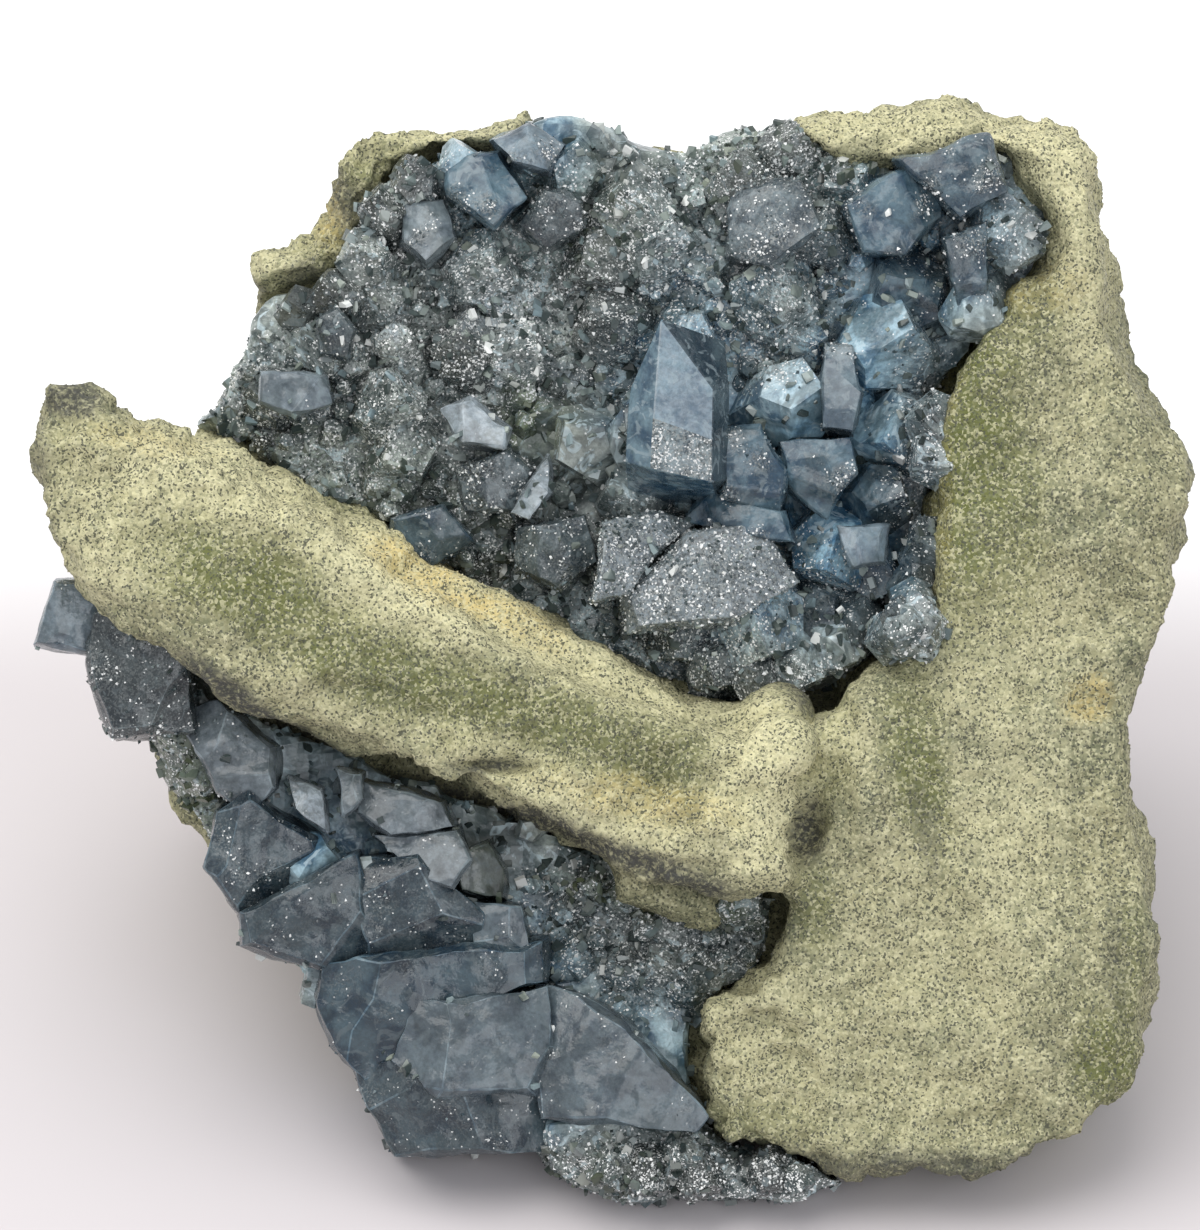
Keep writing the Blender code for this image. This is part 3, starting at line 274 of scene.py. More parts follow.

# Blocks whose front tilts up mostly have the white, pale or light looks and those whose front tilts down the
# dark ones: the white look is in part a painted reflection, the dark look's shade in part painted shade
# Blocky crystals by their front faces: (look, depth at the middle, change across, change up, corners)
UPPER_BLOCKS = [
    ("blue", -1.4, 0.25, -0.30, [(-11.6, 34.4), (-7.8, 34.7), (-6.0, 31.5), (-8.1, 29.5), (-11.2, 31.6)]),
    ("light blue", -1.8, -0.2, -0.5, [(-7.8, 35.8), (-5.3, 36.8), (-2.9, 35.5), (-4.0, 33.5), (-6.5, 34.1)]),
    ("dark", -2.2, 0.0, 0.25, [(-6.0, 29.5), (-4.1, 31.8), (-1.6, 31.0), (-1.2, 29.2), (-4.0, 27.7)]),
    ("white", -1.6, 0.1, -0.55, [(-11.6, 15.3), (-9.7, 16.1), (-7.2, 14.1), (-7.5, 12.8), (-10.3, 13.0)]),
    ("white", -1.4, 0.3, -0.5, [(-6.5, 7.9), (-4.1, 11.6), (-3.8, 9.2), (-5.3, 7.5)]),
    ("blue", -0.8, 0.35, 0.05, [(13.9, 12.8), (18.5, 13.1), (18.8, 10.7), (17.0, 7.8), (14.2, 10.1)]),
    ("blue", -0.4, -0.2, -0.1, [(9.4, 13.7), (12.0, 13.9), (13.8, 10.9), (13.2, 7.9), (9.4, 9.2)]),
    ("light blue", -0.6, -0.3, -0.15, [(18.2, 6.5), (21.6, 6.6), (21.4, 4.0), (19.1, 3.8)]),
    ("light", -1.0, 0.3, -0.3, [(17.0, 20.2), (18.8, 19.7), (19.6, 16.7), (18.9, 14.1), (16.8, 14.3)]),
    ("sugar", 0.6, -0.35, -0.25, [(0.6, 6.6), (3.5, 7.5), (6.8, 6.8), (4.4, 4.9), (2.3, 2.0), (0.0, 1.6)]),
    ("sugar", 0.9, 0.15, -0.12, [(2.3, 1.6), (6.9, 5.8), (11.3, 6.1), (13.8, 2.5), (9.7, -0.1),
     (2.9, -0.9)]),
    ("blue", -0.6, 0.1, -0.25, [(6.8, 7.1), (8.7, 9.0), (13.5, 7.7), (14.2, 5.6), (11.3, 6.1)]),
    ("blue", -1.0, -0.3, -0.2, [(18.8, 30.8), (21.0, 32.6), (24.8, 33.4), (25.2, 30.0), (22.9, 27.4),
     (20.1, 27.7)]),
    ("slate", -0.2, 0.25, -0.1, [(22.9, 34.1), (28.8, 35.6), (30.0, 31.9), (27.0, 30.0), (25.2, 31.9)]),
    ("grey", -1.8, 0.1, -0.25, [(10.1, 31.9), (15.0, 32.6), (16.5, 29.2), (12.8, 26.5), (10.1, 27.4)]),
    ("pale", -2.0, -0.2, -0.4, [(-25.3, 18.2), (-21.1, 17.9), (-20.6, 16.1), (-23.2, 15.2), (-25.3, 16.1)]),
    ("dark", -1.8, 0.1, 0.25, [(-21.3, 22.1), (-19.8, 22.9), (-18.5, 21.4), (-19.1, 19.4), (-21.1, 19.7)]),
    ("pale", -2.6, 0.2, -0.35, [(-14.6, 30.8), (-12.0, 31.1), (-11.1, 28.5), (-13.1, 26.6), (-14.8, 28.1)]),
    ("dark", -2.0, -0.1, 0.2, [(-10.5, 10.9), (-7.1, 12.2), (-5.6, 10.9), (-6.3, 8.0), (-9.8, 8.2)]),
    ("slate", -2.6, 0.2, 0.25, [(-15.4, 7.1), (-12.0, 7.9), (-10.1, 5.6), (-12.8, 3.8), (-15.6, 5.2)]),
    ("dark", -1.8, 0.1, 0.2, [(-6.0, 6.4), (-1.5, 7.1), (-0.6, 4.1), (-3.0, 2.2), (-6.0, 3.4)]),
    ("slate", -0.4, -0.2, 0.15, [(25.9, 28.1), (28.9, 29.2), (28.9, 24.4), (27.0, 23.6)]),
]
LOWER_BLOCKS = [
    ("light blue", -0.6, -0.15, -0.1, [(-40.8, 2.2), (-38.6, 2.3), (-37.4, 0.4), (-37.9, -2.6),
     (-42.1, -1.9)]),
    ("violet", 1.9, 0.1, 0.12, [(-38.1, -2.5), (-37.5, -0.5), (-33.8, -0.2), (-31.3, -3.0), (-31.2, -8.0),
     (-36.4, -8.5), (-37.8, -4.9)]),
    ("pale", 0.8, 0.1, -0.2, [(-31.2, -8.0), (-28.6, -7.1), (-24.8, -10.0), (-24.8, -12.7), (-26.6, -14.3),
     (-28.6, -13.0), (-30.0, -10.0)]),
    ("white", 1.4, -0.3, -0.3, [(-23.2, -12.5), (-21.0, -13.2), (-20.6, -16.0), (-22.8, -14.5)]),
    ("pale", 1.2, 0.3, -0.3, [(-19.6, -11.7), (-18.0, -12.1), (-17.8, -13.7), (-19.1, -14.7)]),
    ("slate", 1.6, -0.25, 0.1, [(-28.9, -18.7), (-28.2, -15.2), (-26.2, -13.9), (-21.6, -17.0),
     (-21.1, -19.1), (-26.2, -22.4)]),
    ("slate", 2.0, -0.1, 0.2, [(-26.2, -22.4), (-21.6, -19.9), (-18.8, -18.7), (-17.2, -24.9),
     (-19.9, -26.4), (-23.2, -25.6), (-26.2, -24.6)]),
    ("slate", 1.9, 0.15, 0.05, [(-18.7, -19.0), (-13.7, -18.3), (-9.6, -22.3), (-9.6, -24.6), (-17.0, -25.1),
     (-18.5, -21.6)]),
    ("pale", 1.2, 0.1, -0.25, [(-17.7, -12.7), (-12.1, -14.0), (-11.5, -15.7), (-15.7, -16.5),
     (-17.8, -14.7)]),
    ("pale", 1.7, 0.2, -0.35, [(-16.3, -16.8), (-10.9, -16.3), (-10.1, -18.3), (-11.1, -20.3),
     (-14.0, -19.3)]),
    ("green", 1.0, -0.3, -0.05, [(-10.7, -18.3), (-8.4, -17.2), (-7.3, -19.0), (-7.3, -21.1),
     (-10.3, -20.5)]),
    ("light", 1.5, 0.2, -0.15, [(-9.8, -21.6), (-6.1, -22.0), (-5.5, -24.8), (-9.4, -25.1)]),
    ("blue", 2.4, -0.1, 0.1, [(-19.6, -26.6), (-11.1, -25.1), (-5.6, -25.1), (-5.5, -27.7), (-8.4, -28.9),
     (-13.7, -29.5), (-14.7, -33.1), (-17.0, -34.0), (-19.0, -31.9), (-20.1, -28.9)]),
    ("light", 3.6, -0.12, -0.08, [(-14.7, -33.1), (-13.0, -29.2), (-9.1, -28.9), (-4.7, -28.4),
     (-4.1, -32.2), (-5.4, -35.3), (-11.7, -35.3)]),
    ("light", 3.6, 0.18, -0.22, [(-4.2, -28.4), (-1.5, -29.1), (1.9, -30.9), (6.9, -36.8), (6.1, -37.8),
     (-3.8, -37.1), (-4.2, -32.2)]),
    ("slate", 3.0, 0.1, 0.25, [(-17.3, -34.0), (-14.7, -33.7), (-11.7, -35.5), (-4.8, -35.5), (-3.7, -37.6),
     (-4.3, -39.6), (-14.7, -39.9), (-16.8, -35.9)]),
]

# Corners of the blue point, as (across, up, out): its kite-shaped front face comes first
BLUE_POINT = [
    (4.6, 22.2, 0.6), (8.5, 16.9, 1.52), (8.4, 13.1, 2.6), (4.0, 14.7, 2.8), (2.3, 17.0, 0.4),
    (2.1, 15.2, 1.0), (9.4, 20.6, -2.2), (9.7, 16.8, -0.6), (8.4, 9.9, 2.3), (3.8, 10.9, 2.8),
    (1.9, 11.4, 1.2), (9.6, 10.2, -0.4), (4.8, 21.0, -4.0), (2.0, 14.0, -5.0), (9.6, 15.0, -5.0),
    (2.2, 8.5, -7.0), (9.2, 8.0, -7.0),
]

# Soft-edged patches on the face: (across, up, half width, half height, turn in degrees, strength)
ROCK_PATCHES = {
    "moss": [
        (-27, 3.6, 8, 3.8, -24, 0.95), (-14, -4.6, 10, 3.4, -22, 0.85), (1, -9.5, 9, 3.6, -16, 0.75),
        (-38, 13, 3, 2, 0, 0.4), (27.5, 15, 2.8, 12, -4, 1.0), (26, 21, 2.6, 4, 0, 0.9),
        (30, 8, 3.0, 9, 0, 0.7), (31, 23, 3.5, 4, 0, 0.6), (23.5, -10, 2.2, 6, 8, 0.65),
        (17, -9, 1.8, 4, 0, 0.7), (38, -33.5, 2.4, 4.0, 20, 1.0), (39.5, -26, 1.2, 4.5, 0, 0.6),
        (16, -22, 1.6, 3, 0, 0.7), (-19, 34.6, 4, 2, 0, 0.7), (-24, 23.4, 2, 2.4, 0, 0.7),
        (-18, 8.2, 5, 1.6, -28, 0.6), (20, 38, 6, 1.6, 0, 0.35), (12, -38, 5, 1.5, 0, 0.4),
        (24.5, -14, 1.6, 5, 12, 0.75), (-22, 29, 2.0, 4, 20, 0.6), (-15, 35.6, 3, 1.2, 0, 0.6),
        (27.0, 5, 1.8, 5, 0, 0.7), (15.4, -8.2, 2.2, 2.4, 0, 0.8),
    ],
    # Cream patches: the rock's own pale colour, and along the ridge's upper edge and the top rim also a
    # painted highlight where they face the light
    "cream": [
        (-30, 10.4, 9, 3.4, -14, 0.9), (-36, 6.0, 4, 4, 0, 0.6), (-14, 2.4, 8, 3.6, -28, 1.0),
        (15, -9, 4, 3, 0, 0.8), (12, -30, 6, 5, 0, 0.5), (31, -13, 4, 5, 0, 0.5),
        (-6, -11, 9, 1.6, -18, 0.6), (2, -4.8, 8, 2.0, -22, 0.9), (12, -13, 3.6, 6, 0, 1.0),
        (-38, 3.5, 3, 3, 0, 0.5), (-20, -7.5, 7, 1.4, -30, 0.4), (0, -15.5, 8, 1.8, -12, 0.6),
        (30, -3, 6, 5, 0, 0.35), (33, 35, 9, 3.4, 0, 1.0), (22, 37.4, 9, 2.2, 0, 0.9),
        (37, 27, 2.4, 8, 0, 0.5), (26, -24, 7, 7, 0, 0.4), (-20, 36.6, 7, 2.4, 0, 0.6),
        (-24.6, 27.6, 3.0, 3.4, 0, 0.6), (20, -36, 6, 4, 0, 0.3), (-10, 37, 5, 1.6, 0, 0.7),
    ],
    "ochre": [
        (-13, 3.0, 4.5, 1.4, -30, 0.8), (-6, -0.5, 4, 1.2, -30, 0.6), (26.2, 20, 1.2, 6, -12, 0.25),
        (36.6, -6.2, 1.6, 1.6, 0, 0.7), (3, -13.6, 6, 1.4, -12, 0.45), (25.6, 8, 0.8, 6, 0, 0.2),
        (-34, 13, 4, 1.0, -10, 0.35), (33, 25, 3, 2, 0, 0.3), (-21, 31, 1.6, 3, 20, 0.6),
    ],
    # Dark stains of the rock, and painted shade: the bands along the ridge's lower edge, the spots over the
    # hollows and the strips along the base are painted shade
    "stain": [
        (24.3, -16, 0.8, 3.2, 12, 0.45), (18, -43, 13, 2.4, 0, 0.6), (25.4, 20, 1.2, 4, 0, 0.6),
        (-19.6, 31.5, 1.2, 2.4, 20, 0.7), (-22.6, 26.0, 1.4, 1.0, 30, 0.7), (-26.6, 24.6, 1.2, 0.8, 0, 0.6),
        (-39.6, 16.2, 2.2, 1.4, 0, 0.95), (15.9, -5.4, 1.7, 1.9, 0, 1.0), (15.6, -16.2, 1.1, 2.2, 0, 1.0),
        (-26, 22, 2.0, 1.6, 0, 0.4), (10, -40.5, 6, 1.2, -6, 0.7), (38.6, -26, 0.7, 4, 0, 0.4),
        (-8, -11.2, 3.0, 0.45, 4, 0.9), (30, -41, 9, 1.0, 0, 0.5), (-41.8, 12, 0.9, 2.6, 0, 0.4),
        (-28.0, -5.4, 4.6, 0.9, -36, 1.0), (-21.2, -10.2, 4.6, 0.9, -31, 1.0),
        (-13.0, -13.5, 5.2, 0.9, -16, 1.0), (-5.6, -15.4, 3.8, 0.9, -12, 1.0),
        (3.0, -18.3, 6.6, 0.9, -21, 1.0), (-7.6, -17.0, 1.8, 1.4, 0, 1.0), (5.6, -24.4, 5.0, 0.5, -8, 0.7),
    ],
}
QUARTZ_PATCHES = {
    "blue": [
        (7, 17, 5.5, 7.5, 0, 0.8), (15, 8, 7, 8, 0, 0.9), (21, 5, 3, 4, 0, 0.9), (18, 18, 3, 5, 0, 0.6),
        (-9.5, 32.5, 3, 3.5, 0, 0.8), (-4.4, 33, 3.4, 5.5, 0, 0.8), (24, 30, 7, 6, 0, 0.9),
        (-40, 0.6, 3.4, 4, 0, 0.9), (11, 29, 6, 5, 0, 0.35), (-21, -20, 8, 8, 0, 0.7),
        (-8, -26, 8, 6, 0, 0.6), (-10, -34, 9, 6, 0, 0.75), (1, -33, 7, 4, 0, 0.6), (3, -1, 8, 4, 0, 0.35),
        (23, 24, 4, 6, 0, 0.7), (19, 12, 5, 9, 0, 0.7),
    ],
    "pale": [
        (-18, -13, 7, 2.8, -28, 0.6), (-11, -18, 4, 3, 0, 0.5), (-23.3, 16.8, 2.8, 1.8, 10, 0.5),
        (-16.3, 21.6, 1.2, 1.6, 0, 0.9), (30, 32.2, 1.4, 0.9, 0, 1.0), (-8.6, 22.4, 2.2, 1.1, 8, 1.0),
        (-3.2, 18.6, 2.2, 0.6, -28, 1.0), (-0.5, -30.6, 3.4, 1.0, -34, 0.9), (-40, 2, 2.0, 1.2, 0, 0.5),
        (2, 37, 2.4, 1, 0, 0.5), (-11, 26.6, 2.6, 1.6, 0, 0.35), (-8, 24, 5, 1.6, 0, 0.35),
        (-6, 18, 4, 1.6, 0, 0.25),
    ],
    "shade": [
        (24.4, 12, 1.5, 10, 0, 0.85), (5, -24, 9, 3.6, -14, 0.7), (31, 27, 3.0, 3.6, 0, 0.5),
        (2.6, 33, 2.6, 2.4, -50, 0.55), (-31, -12, 2.4, 4, 30, 0.6), (-7.6, -17.4, 2.2, 1.8, 0, 1.0),
        (-9, 6.2, 4.5, 1.6, -24, 0.55), (-21.4, 21, 1.6, 2, 0, 0.6), (0.4, 12, 1.2, 5, 8, 0.5),
        (-27, -24, 3, 1.6, -40, 0.7), (8, 11, 1.6, 2, 0, 0.3), (23.4, -1.4, 4, 3.4, 0, 0.5),
        (6, -42, 14, 2.6, 0, 0.9), (15, -42.6, 6, 2, 0, 0.6),
    ],
    "sugar": [
        (5, 3.6, 6, 5, 0, 1.0), (5.4, 12.6, 3.4, 1.8, -8, 1.0), (-19, 15, 6, 5.5, 0, 1.0),
        (-12, 20, 9, 6, 0, 0.85), (0, 24, 7, 6, 0, 0.7), (11, 30, 9, 6, 0, 0.65),
        (8, -3.4, 8, 2.6, -14, 0.9), (14, 35, 7, 3, 0, 0.8), (-4, 29, 12, 5, 0, 0.6),
        (5, -24, 9, 5, -10, 1.0), (6, -41.5, 12, 3, 0, 1.0), (24, -1.4, 4, 4, 0, 0.45),
        (28, 29, 5, 4, 0, 0.6), (-5, 1, 8, 4, -30, 0.8), (13, 22, 4, 4, 0, 0.9), (-26, 17, 5, 4, 0, 0.7),
        (24.6, 12, 2, 9, 0, 0.6), (-31, -12, 3, 6, 0, 0.6), (-12, 9, 8, 5, -20, 0.7),
        (-15, 29, 6, 5, 0, 0.6), (16, 3, 4, 3, 0, 0.5), (13, -5.6, 7, 2, 0, 0.8),
    ],
    "green": [
        (-5.5, 15.3, 2.4, 2.2, 0, 0.9), (-20, 34, 4, 2, 0, 0.5), (-9.4, -19.2, 1.6, 1.8, 0, 0.8),
        (-32, -13, 3.4, 4.6, 36, 0.8), (-3, 30, 5, 4, 0, 0.4), (14, 33, 8, 4, 0, 0.35),
        (-14, 8, 8, 3, -28, 0.3), (5, -21.8, 7, 1.0, -14, 0.9), (-26, -26, 4, 2, -40, 0.8),
        (0, -41.6, 5, 1.2, 0, 0.5),
    ],
}

# Zones of rough, pitted rock, in the same terms as the patches
RAGGED_ZONES = [
    (-20, 33, 9, 6, 0, 1.0), (-28, 11, 12, 3, -14, 0.7), (-6, -11, 16, 4, -20, 0.8), (8, -13, 6, 5, 0, 0.8),
    (12, -33, 8, 8, 0, 0.9), (26, -40, 16, 4, 0, 0.8), (-38, 10, 4, 6, 0, 0.8), (22, 37, 14, 3, 0, 0.5),
]

# Hollows in the rock: (across, up, half width, half height, turn in degrees, depth)
ROCK_HOLLOWS = [
    (14.6, -8.8, 3.0, 2.2, -30, -2.6), (15.9, -5.0, 1.5, 1.9, 0, 2.8), (15.6, -15.8, 0.9, 2.1, -8, 2.6),
    (-8, -11.3, 2.8, 0.45, 4, 1.2), (10.2, -31.6, 1.5, 1.0, -20, 0.9), (13.2, -33.4, 1.2, 0.9, 10, 0.8),
    (9.4, -34.6, 1.1, 0.8, 0, 0.7), (12.0, -30.2, 0.9, 0.6, 0, 0.6), (11.6, -36.2, 1.3, 0.7, 15, 0.6),
    (14.4, -31.0, 0.7, 0.7, 0, 0.6), (24.2, -6.6, 1.3, 0.7, -40, 0.5), (36.4, -6.4, 0.8, 1.2, 0, 0.5),
    (-24.5, 22.5, 1.4, 1.2, 0, 1.2),
]


def on_face(across, up, out):
    """World place of a point given on the crystal face."""
    sine = math.sin(FACE_LEAN)
    cosine = math.cos(FACE_LEAN)
    return Vector((across, up * sine - out * cosine,
                   FACE_CENTRE_HEIGHT + up * cosine + out * sine)) * MM


def face_places(points):
    """Where world points are on the crystal face, as arrays of across, up and out."""
    sine = math.sin(FACE_LEAN)
    cosine = math.cos(FACE_LEAN)
    height = points[:, 2] / MM - FACE_CENTRE_HEIGHT
    depth = points[:, 1] / MM
    return points[:, 0] / MM, depth * sine + height * cosine, height * sine - depth * cosine


def mesh_from(bm, name):
    mesh = bpy.data.meshes.new(name)
    bm.to_mesh(mesh)
    bm.free()
    return mesh


def object_from(bm, name):
    item = bpy.data.objects.new(name, mesh_from(bm, name))
    bpy.context.scene.collection.objects.link(item)
    return item


def add_form(target, bm):
    """Adds one form to a mesh that gathers many."""
    mesh = mesh_from(bm, "form")
    target.from_mesh(mesh)
    bpy.data.meshes.remove(mesh)


def store(bm, name, value):
    """Stores one value on all vertices."""
    layer = bm.verts.layers.float.new(name)
    for vertex in bm.verts:
        vertex[layer] = value


def add_node(tree, kind, **settings):
    made = tree.nodes.new(kind)
    for name, value in settings.items():
        setattr(made, name, value)
    return made


def apply_modifiers(item):
    """Bakes the object's modifiers into its mesh."""
    bpy.context.view_layer.update()
    evaluated = item.evaluated_get(bpy.context.evaluated_depsgraph_get())
    mesh = bpy.data.meshes.new_from_object(evaluated)
    item.modifiers.clear()
    item.data = mesh


def vertex_places(mesh):
    places = np.empty(len(mesh.vertices) * 3, np.float32)
    mesh.vertices.foreach_get("co", places)
    return places.reshape(-1, 3)


def vertex_normals(mesh):
    normals = np.empty(len(mesh.vertices) * 3, np.float32)
    mesh.vertex_normals.foreach_get("vector", normals)
    return normals.reshape(-1, 3)


def set_places(mesh, places):
    mesh.vertices.foreach_set("co", np.ascontiguousarray(places, np.float32).ravel())
    mesh.update()


def noise_at(points, size, seed):
    """Smooth noise from -1 to 1 at world points, with features of the given size in millimetres."""
    offset = Vector((seed * 7.3, seed * 3.1, seed * 5.7))
    scale = 1.0 / (size * MM)
    return np.array([noise.noise(Vector(point) * scale + offset) for point in points.tolist()], np.float32)


def relief_at(points, layers, seed):
    """Uneven height in millimetres, as the sum of layers of noise."""
    return sum(height * noise_at(points, size, seed + index) for index, (height, size) in enumerate(layers))


def patch_cover(across, up, patches, wobble):
    """How much the soft-edged patches cover each point of the face, from 0 to 1."""
    bare = np.ones_like(across)
    for middle_across, middle_up, half_width, half_height, turn, strength in patches:
        angle = math.radians(turn)
        right = across - middle_across
        rise = up - middle_up
        along = (right * math.cos(angle) + rise * math.sin(angle)) / half_width
        aside = (rise * math.cos(angle) - right * math.sin(angle)) / half_height
        reach = np.sqrt(along ** 2 + aside ** 2) + wobble
        cover = np.clip(PATCH_REACH - reach, 0.0, 1.0)
        bare *= 1.0 - strength * cover * cover * (3.0 - 2.0 * cover)
    return 1.0 - bare


def paint(mesh, patches):
    """Stores each kind of patch as an attribute of the mesh, fading out behind the face."""
    places = vertex_places(mesh)
    across, up, out = face_places(places)
    wobble = sum(strength * noise_at(places, size, seed) for strength, size, seed in PAINT_WOBBLE)
    front = np.clip((out - PAINT_END) / (PAINT_FULL - PAINT_END), 0.0, 1.0)
    for name, rows in patches.items():
        attribute = mesh.attributes.new(name, "FLOAT", "POINT")
        attribute.data.foreach_set("value", patch_cover(across, up, rows, wobble) * front)


class Shader:
    """A material's node tree, built up from its colours to its surface."""

    def __init__(self, name):
        self.material = bpy.data.materials.new(name)
        self.material.use_nodes = True
        self.tree = self.material.node_tree
        self.surface = self.tree.nodes["Principled BSDF"]
        self.place = self.node("ShaderNodeTexCoord").outputs["Object"]

    def node(self, kind, **settings):
        return add_node(self.tree, kind, **settings)

    def feed(self, socket, value):
        """Links a socket to another, or sets it to a plain value."""
        if isinstance(value, bpy.types.NodeSocket):
            self.tree.links.new(value, socket)
        elif isinstance(value, tuple) and len(value) == 3 and socket.type == "RGBA":
            socket.default_value = (*value, 1.0)
        else:
            socket.default_value = value

    def noise(self, size, detail=4.0, roughness=0.55, distortion=0.0):
        """Cloudy noise from 0 to 1 with features of the given size in millimetres."""
        made = self.node("ShaderNodeTexNoise")
        self.feed(made.inputs["Vector"], self.place)
        made.inputs["Scale"].default_value = 1.0 / (size * MM)
        made.inputs["Detail"].default_value = detail
        made.inputs["Roughness"].default_value = roughness
        made.inputs["Distortion"].default_value = distortion
        return made.outputs["Fac"]

    def cells(self, size):
        """Grain-shaped cells of the given size in millimetres."""
        made = self.node("ShaderNodeTexVoronoi")
        self.feed(made.inputs["Vector"], self.place)
        made.inputs["Scale"].default_value = 1.0 / (size * MM)
        return made

    def gloom(self):
        """Dark zones a few millimetres wide, the same for all that grows there."""
        return self.ease(self.noise(3.4, 3.0, 0.6, 0.6), 0.47, 0.60)

    def attribute(self, name):
        return self.node("ShaderNodeAttribute", attribute_name=name).outputs["Fac"]

    def math(self, operation, first, second=0.0):
        made = self.node("ShaderNodeMath", operation=operation)
        self.feed(made.inputs[0], first)
        self.feed(made.inputs[1], second)
        return made.outputs[0]

    def times(self, first, second):
        return self.math("MULTIPLY", first, second)

    def tones(self, cells):
        """Three even random numbers for each cell."""
        split = self.node("ShaderNodeSeparateColor")
        self.feed(split.inputs[0], cells.outputs["Color"])
        return split.outputs

    def vector(self, operation, first, second=None, scale=None):
        made = self.node("ShaderNodeVectorMath", operation=operation)
        self.feed(made.inputs[0], first)
        if second is not None:
            self.feed(made.inputs[1], second)
        if scale is not None:
            self.feed(made.inputs["Scale"], scale)
        return made.outputs[0]

    def zone(self, base, patch, strength, colour):
        """The base with one of the mesh's patches over it; the strength is a number or a mask."""
        return self.mix(self.times(self.attribute(patch), strength), base, colour)

    def ease(self, value, low, high, to_low=0.0, to_high=1.0):
        """The value stretched from one range to another, with soft ends."""
        made = self.node("ShaderNodeMapRange", interpolation_type="SMOOTHSTEP")
        self.feed(made.inputs["Value"], value)
        for name, number in (("From Min", low), ("From Max", high), ("To Min", to_low), ("To Max", to_high)):
            made.inputs[name].default_value = number
        return made.outputs["Result"]

    def mix(self, share, first, second):
        made = self.node("ShaderNodeMix", data_type="RGBA")
        self.feed(made.inputs[0], share)
        self.feed(made.inputs[6], first)
        self.feed(made.inputs[7], second)
        return made.outputs[2]

    def bump(self, height, strength, distance, under=None):
        """Relief of the given depth in millimetres."""
        made = self.node("ShaderNodeBump")
        self.feed(made.inputs["Height"], height)
        made.inputs["Strength"].default_value = strength
        made.inputs["Distance"].default_value = distance * MM
        if under is not None:
            self.feed(made.inputs["Normal"], under)
        return made.outputs["Normal"]

    def finish(self, **values):
        for name, value in values.items():
            self.feed(self.surface.inputs[name.replace("_", " ").title().replace("Ior", "IOR")], value)
        return self.material


def rock_finish():
    """Pale granular rock: cream and olive grains, dark specks, moss-green and ochre stains."""
    shader = Shader("granular_rock")
    broad = shader.noise(9.0, 5.0, 0.6)
    blotch = shader.noise(2.2, 5.0, 0.65)
    fine = shader.noise(0.4, 3.0, 0.6)
    grains = shader.cells(0.22)
    grain_tone = shader.tones(grains)
    speck_tone = shader.tones(shader.cells(0.15))

    base = shader.mix(shader.ease(broad, 0.38, 0.62), (0.285, 0.270, 0.150), (0.180, 0.184, 0.105))
    base = shader.mix(shader.ease(blotch, 0.44, 0.62, 0.0, 0.75), base, (0.39, 0.37, 0.22))
    base = shader.zone(base, "moss", shader.ease(blotch, 0.28, 0.62, 0.55, 1.0), (0.108, 0.120, 0.030))
    # Cream patches, in part a painted highlight on the ridge's upper edge and the top rim
    base = shader.zone(base, "cream", shader.ease(fine, 0.3, 0.7, 0.5, 1.0), (0.66, 0.62, 0.37))
    base = shader.zone(base, "ochre", shader.ease(blotch, 0.3, 0.6, 0.3, 0.75), (0.58, 0.43, 0.14))
    base = shader.mix(shader.ease(grain_tone[0], 0.5, 0.9, 0.0, 0.55), base, (0.62, 0.59, 0.37))
    base = shader.mix(shader.ease(grain_tone[1], 0.6, 0.95, 0.0, 0.5), base, (0.12, 0.135, 0.075))
    speck_zone = shader.ease(blotch, 0.35, 0.6, 0.10, -0.04)
    dark_speck = shader.ease(shader.math("ADD", speck_tone[2], speck_zone), 0.78, 0.90, 0.0, 0.9)
    base = shader.mix(dark_speck, base, (0.065, 0.068, 0.045))
    # Dark stains, partly painted shade under the ridge, over the hollows and along the base
    base = shader.zone(base, "stain", shader.ease(fine, 0.36, 0.56, 0.35, 1.0), (0.055, 0.055, 0.046))

    relief = shader.bump(blotch, 0.5, 0.8)
    relief = shader.bump(shader.math("SUBTRACT", 1.0, grains.outputs["Distance"]), 0.45, 0.12, relief)
    relief = shader.bump(fine, 0.5, 0.14, relief)
    roughness = shader.ease(grain_tone[2], 0.6, 1.0, 0.88, 0.45)
    return shader.finish(base_color=base, roughness=roughness, normal=relief)


def grain_finish():
    """Loose-looking grains of the rock, each of one tone."""
    shader = Shader("rock_grains")
    blotch = shader.noise(2.2, 5.0, 0.65)
    tone = shader.attribute("tone")
    base = shader.mix(tone, (0.15, 0.145, 0.078), (0.40, 0.38, 0.24))
    mossy = shader.mix(tone, (0.065, 0.072, 0.022), (0.19, 0.21, 0.075))
    base = shader.zone(base, "moss", shader.ease(blotch, 0.28, 0.62, 0.5, 0.95), mossy)
    base = shader.zone(base, "ochre", 0.5, (0.58, 0.43, 0.16))
    # Cream on the grains, in part the same painted highlight
    base = shader.zone(base, "cream", 0.45, (0.80, 0.75, 0.50))
    # The same dark stains and painted shade on the grains
    base = shader.zone(base, "stain", 0.85, (0.07, 0.07, 0.055))
    dark = shader.ease(shader.attribute("dark"), 0.80, 0.96, 0.0, 0.85)
    base = shader.mix(dark, base, (0.07, 0.072, 0.05))
    relief = shader.bump(shader.noise(0.2, 3.0), 0.5, 0.1)
    return shader.finish(base_color=base, roughness=0.7, normal=relief)


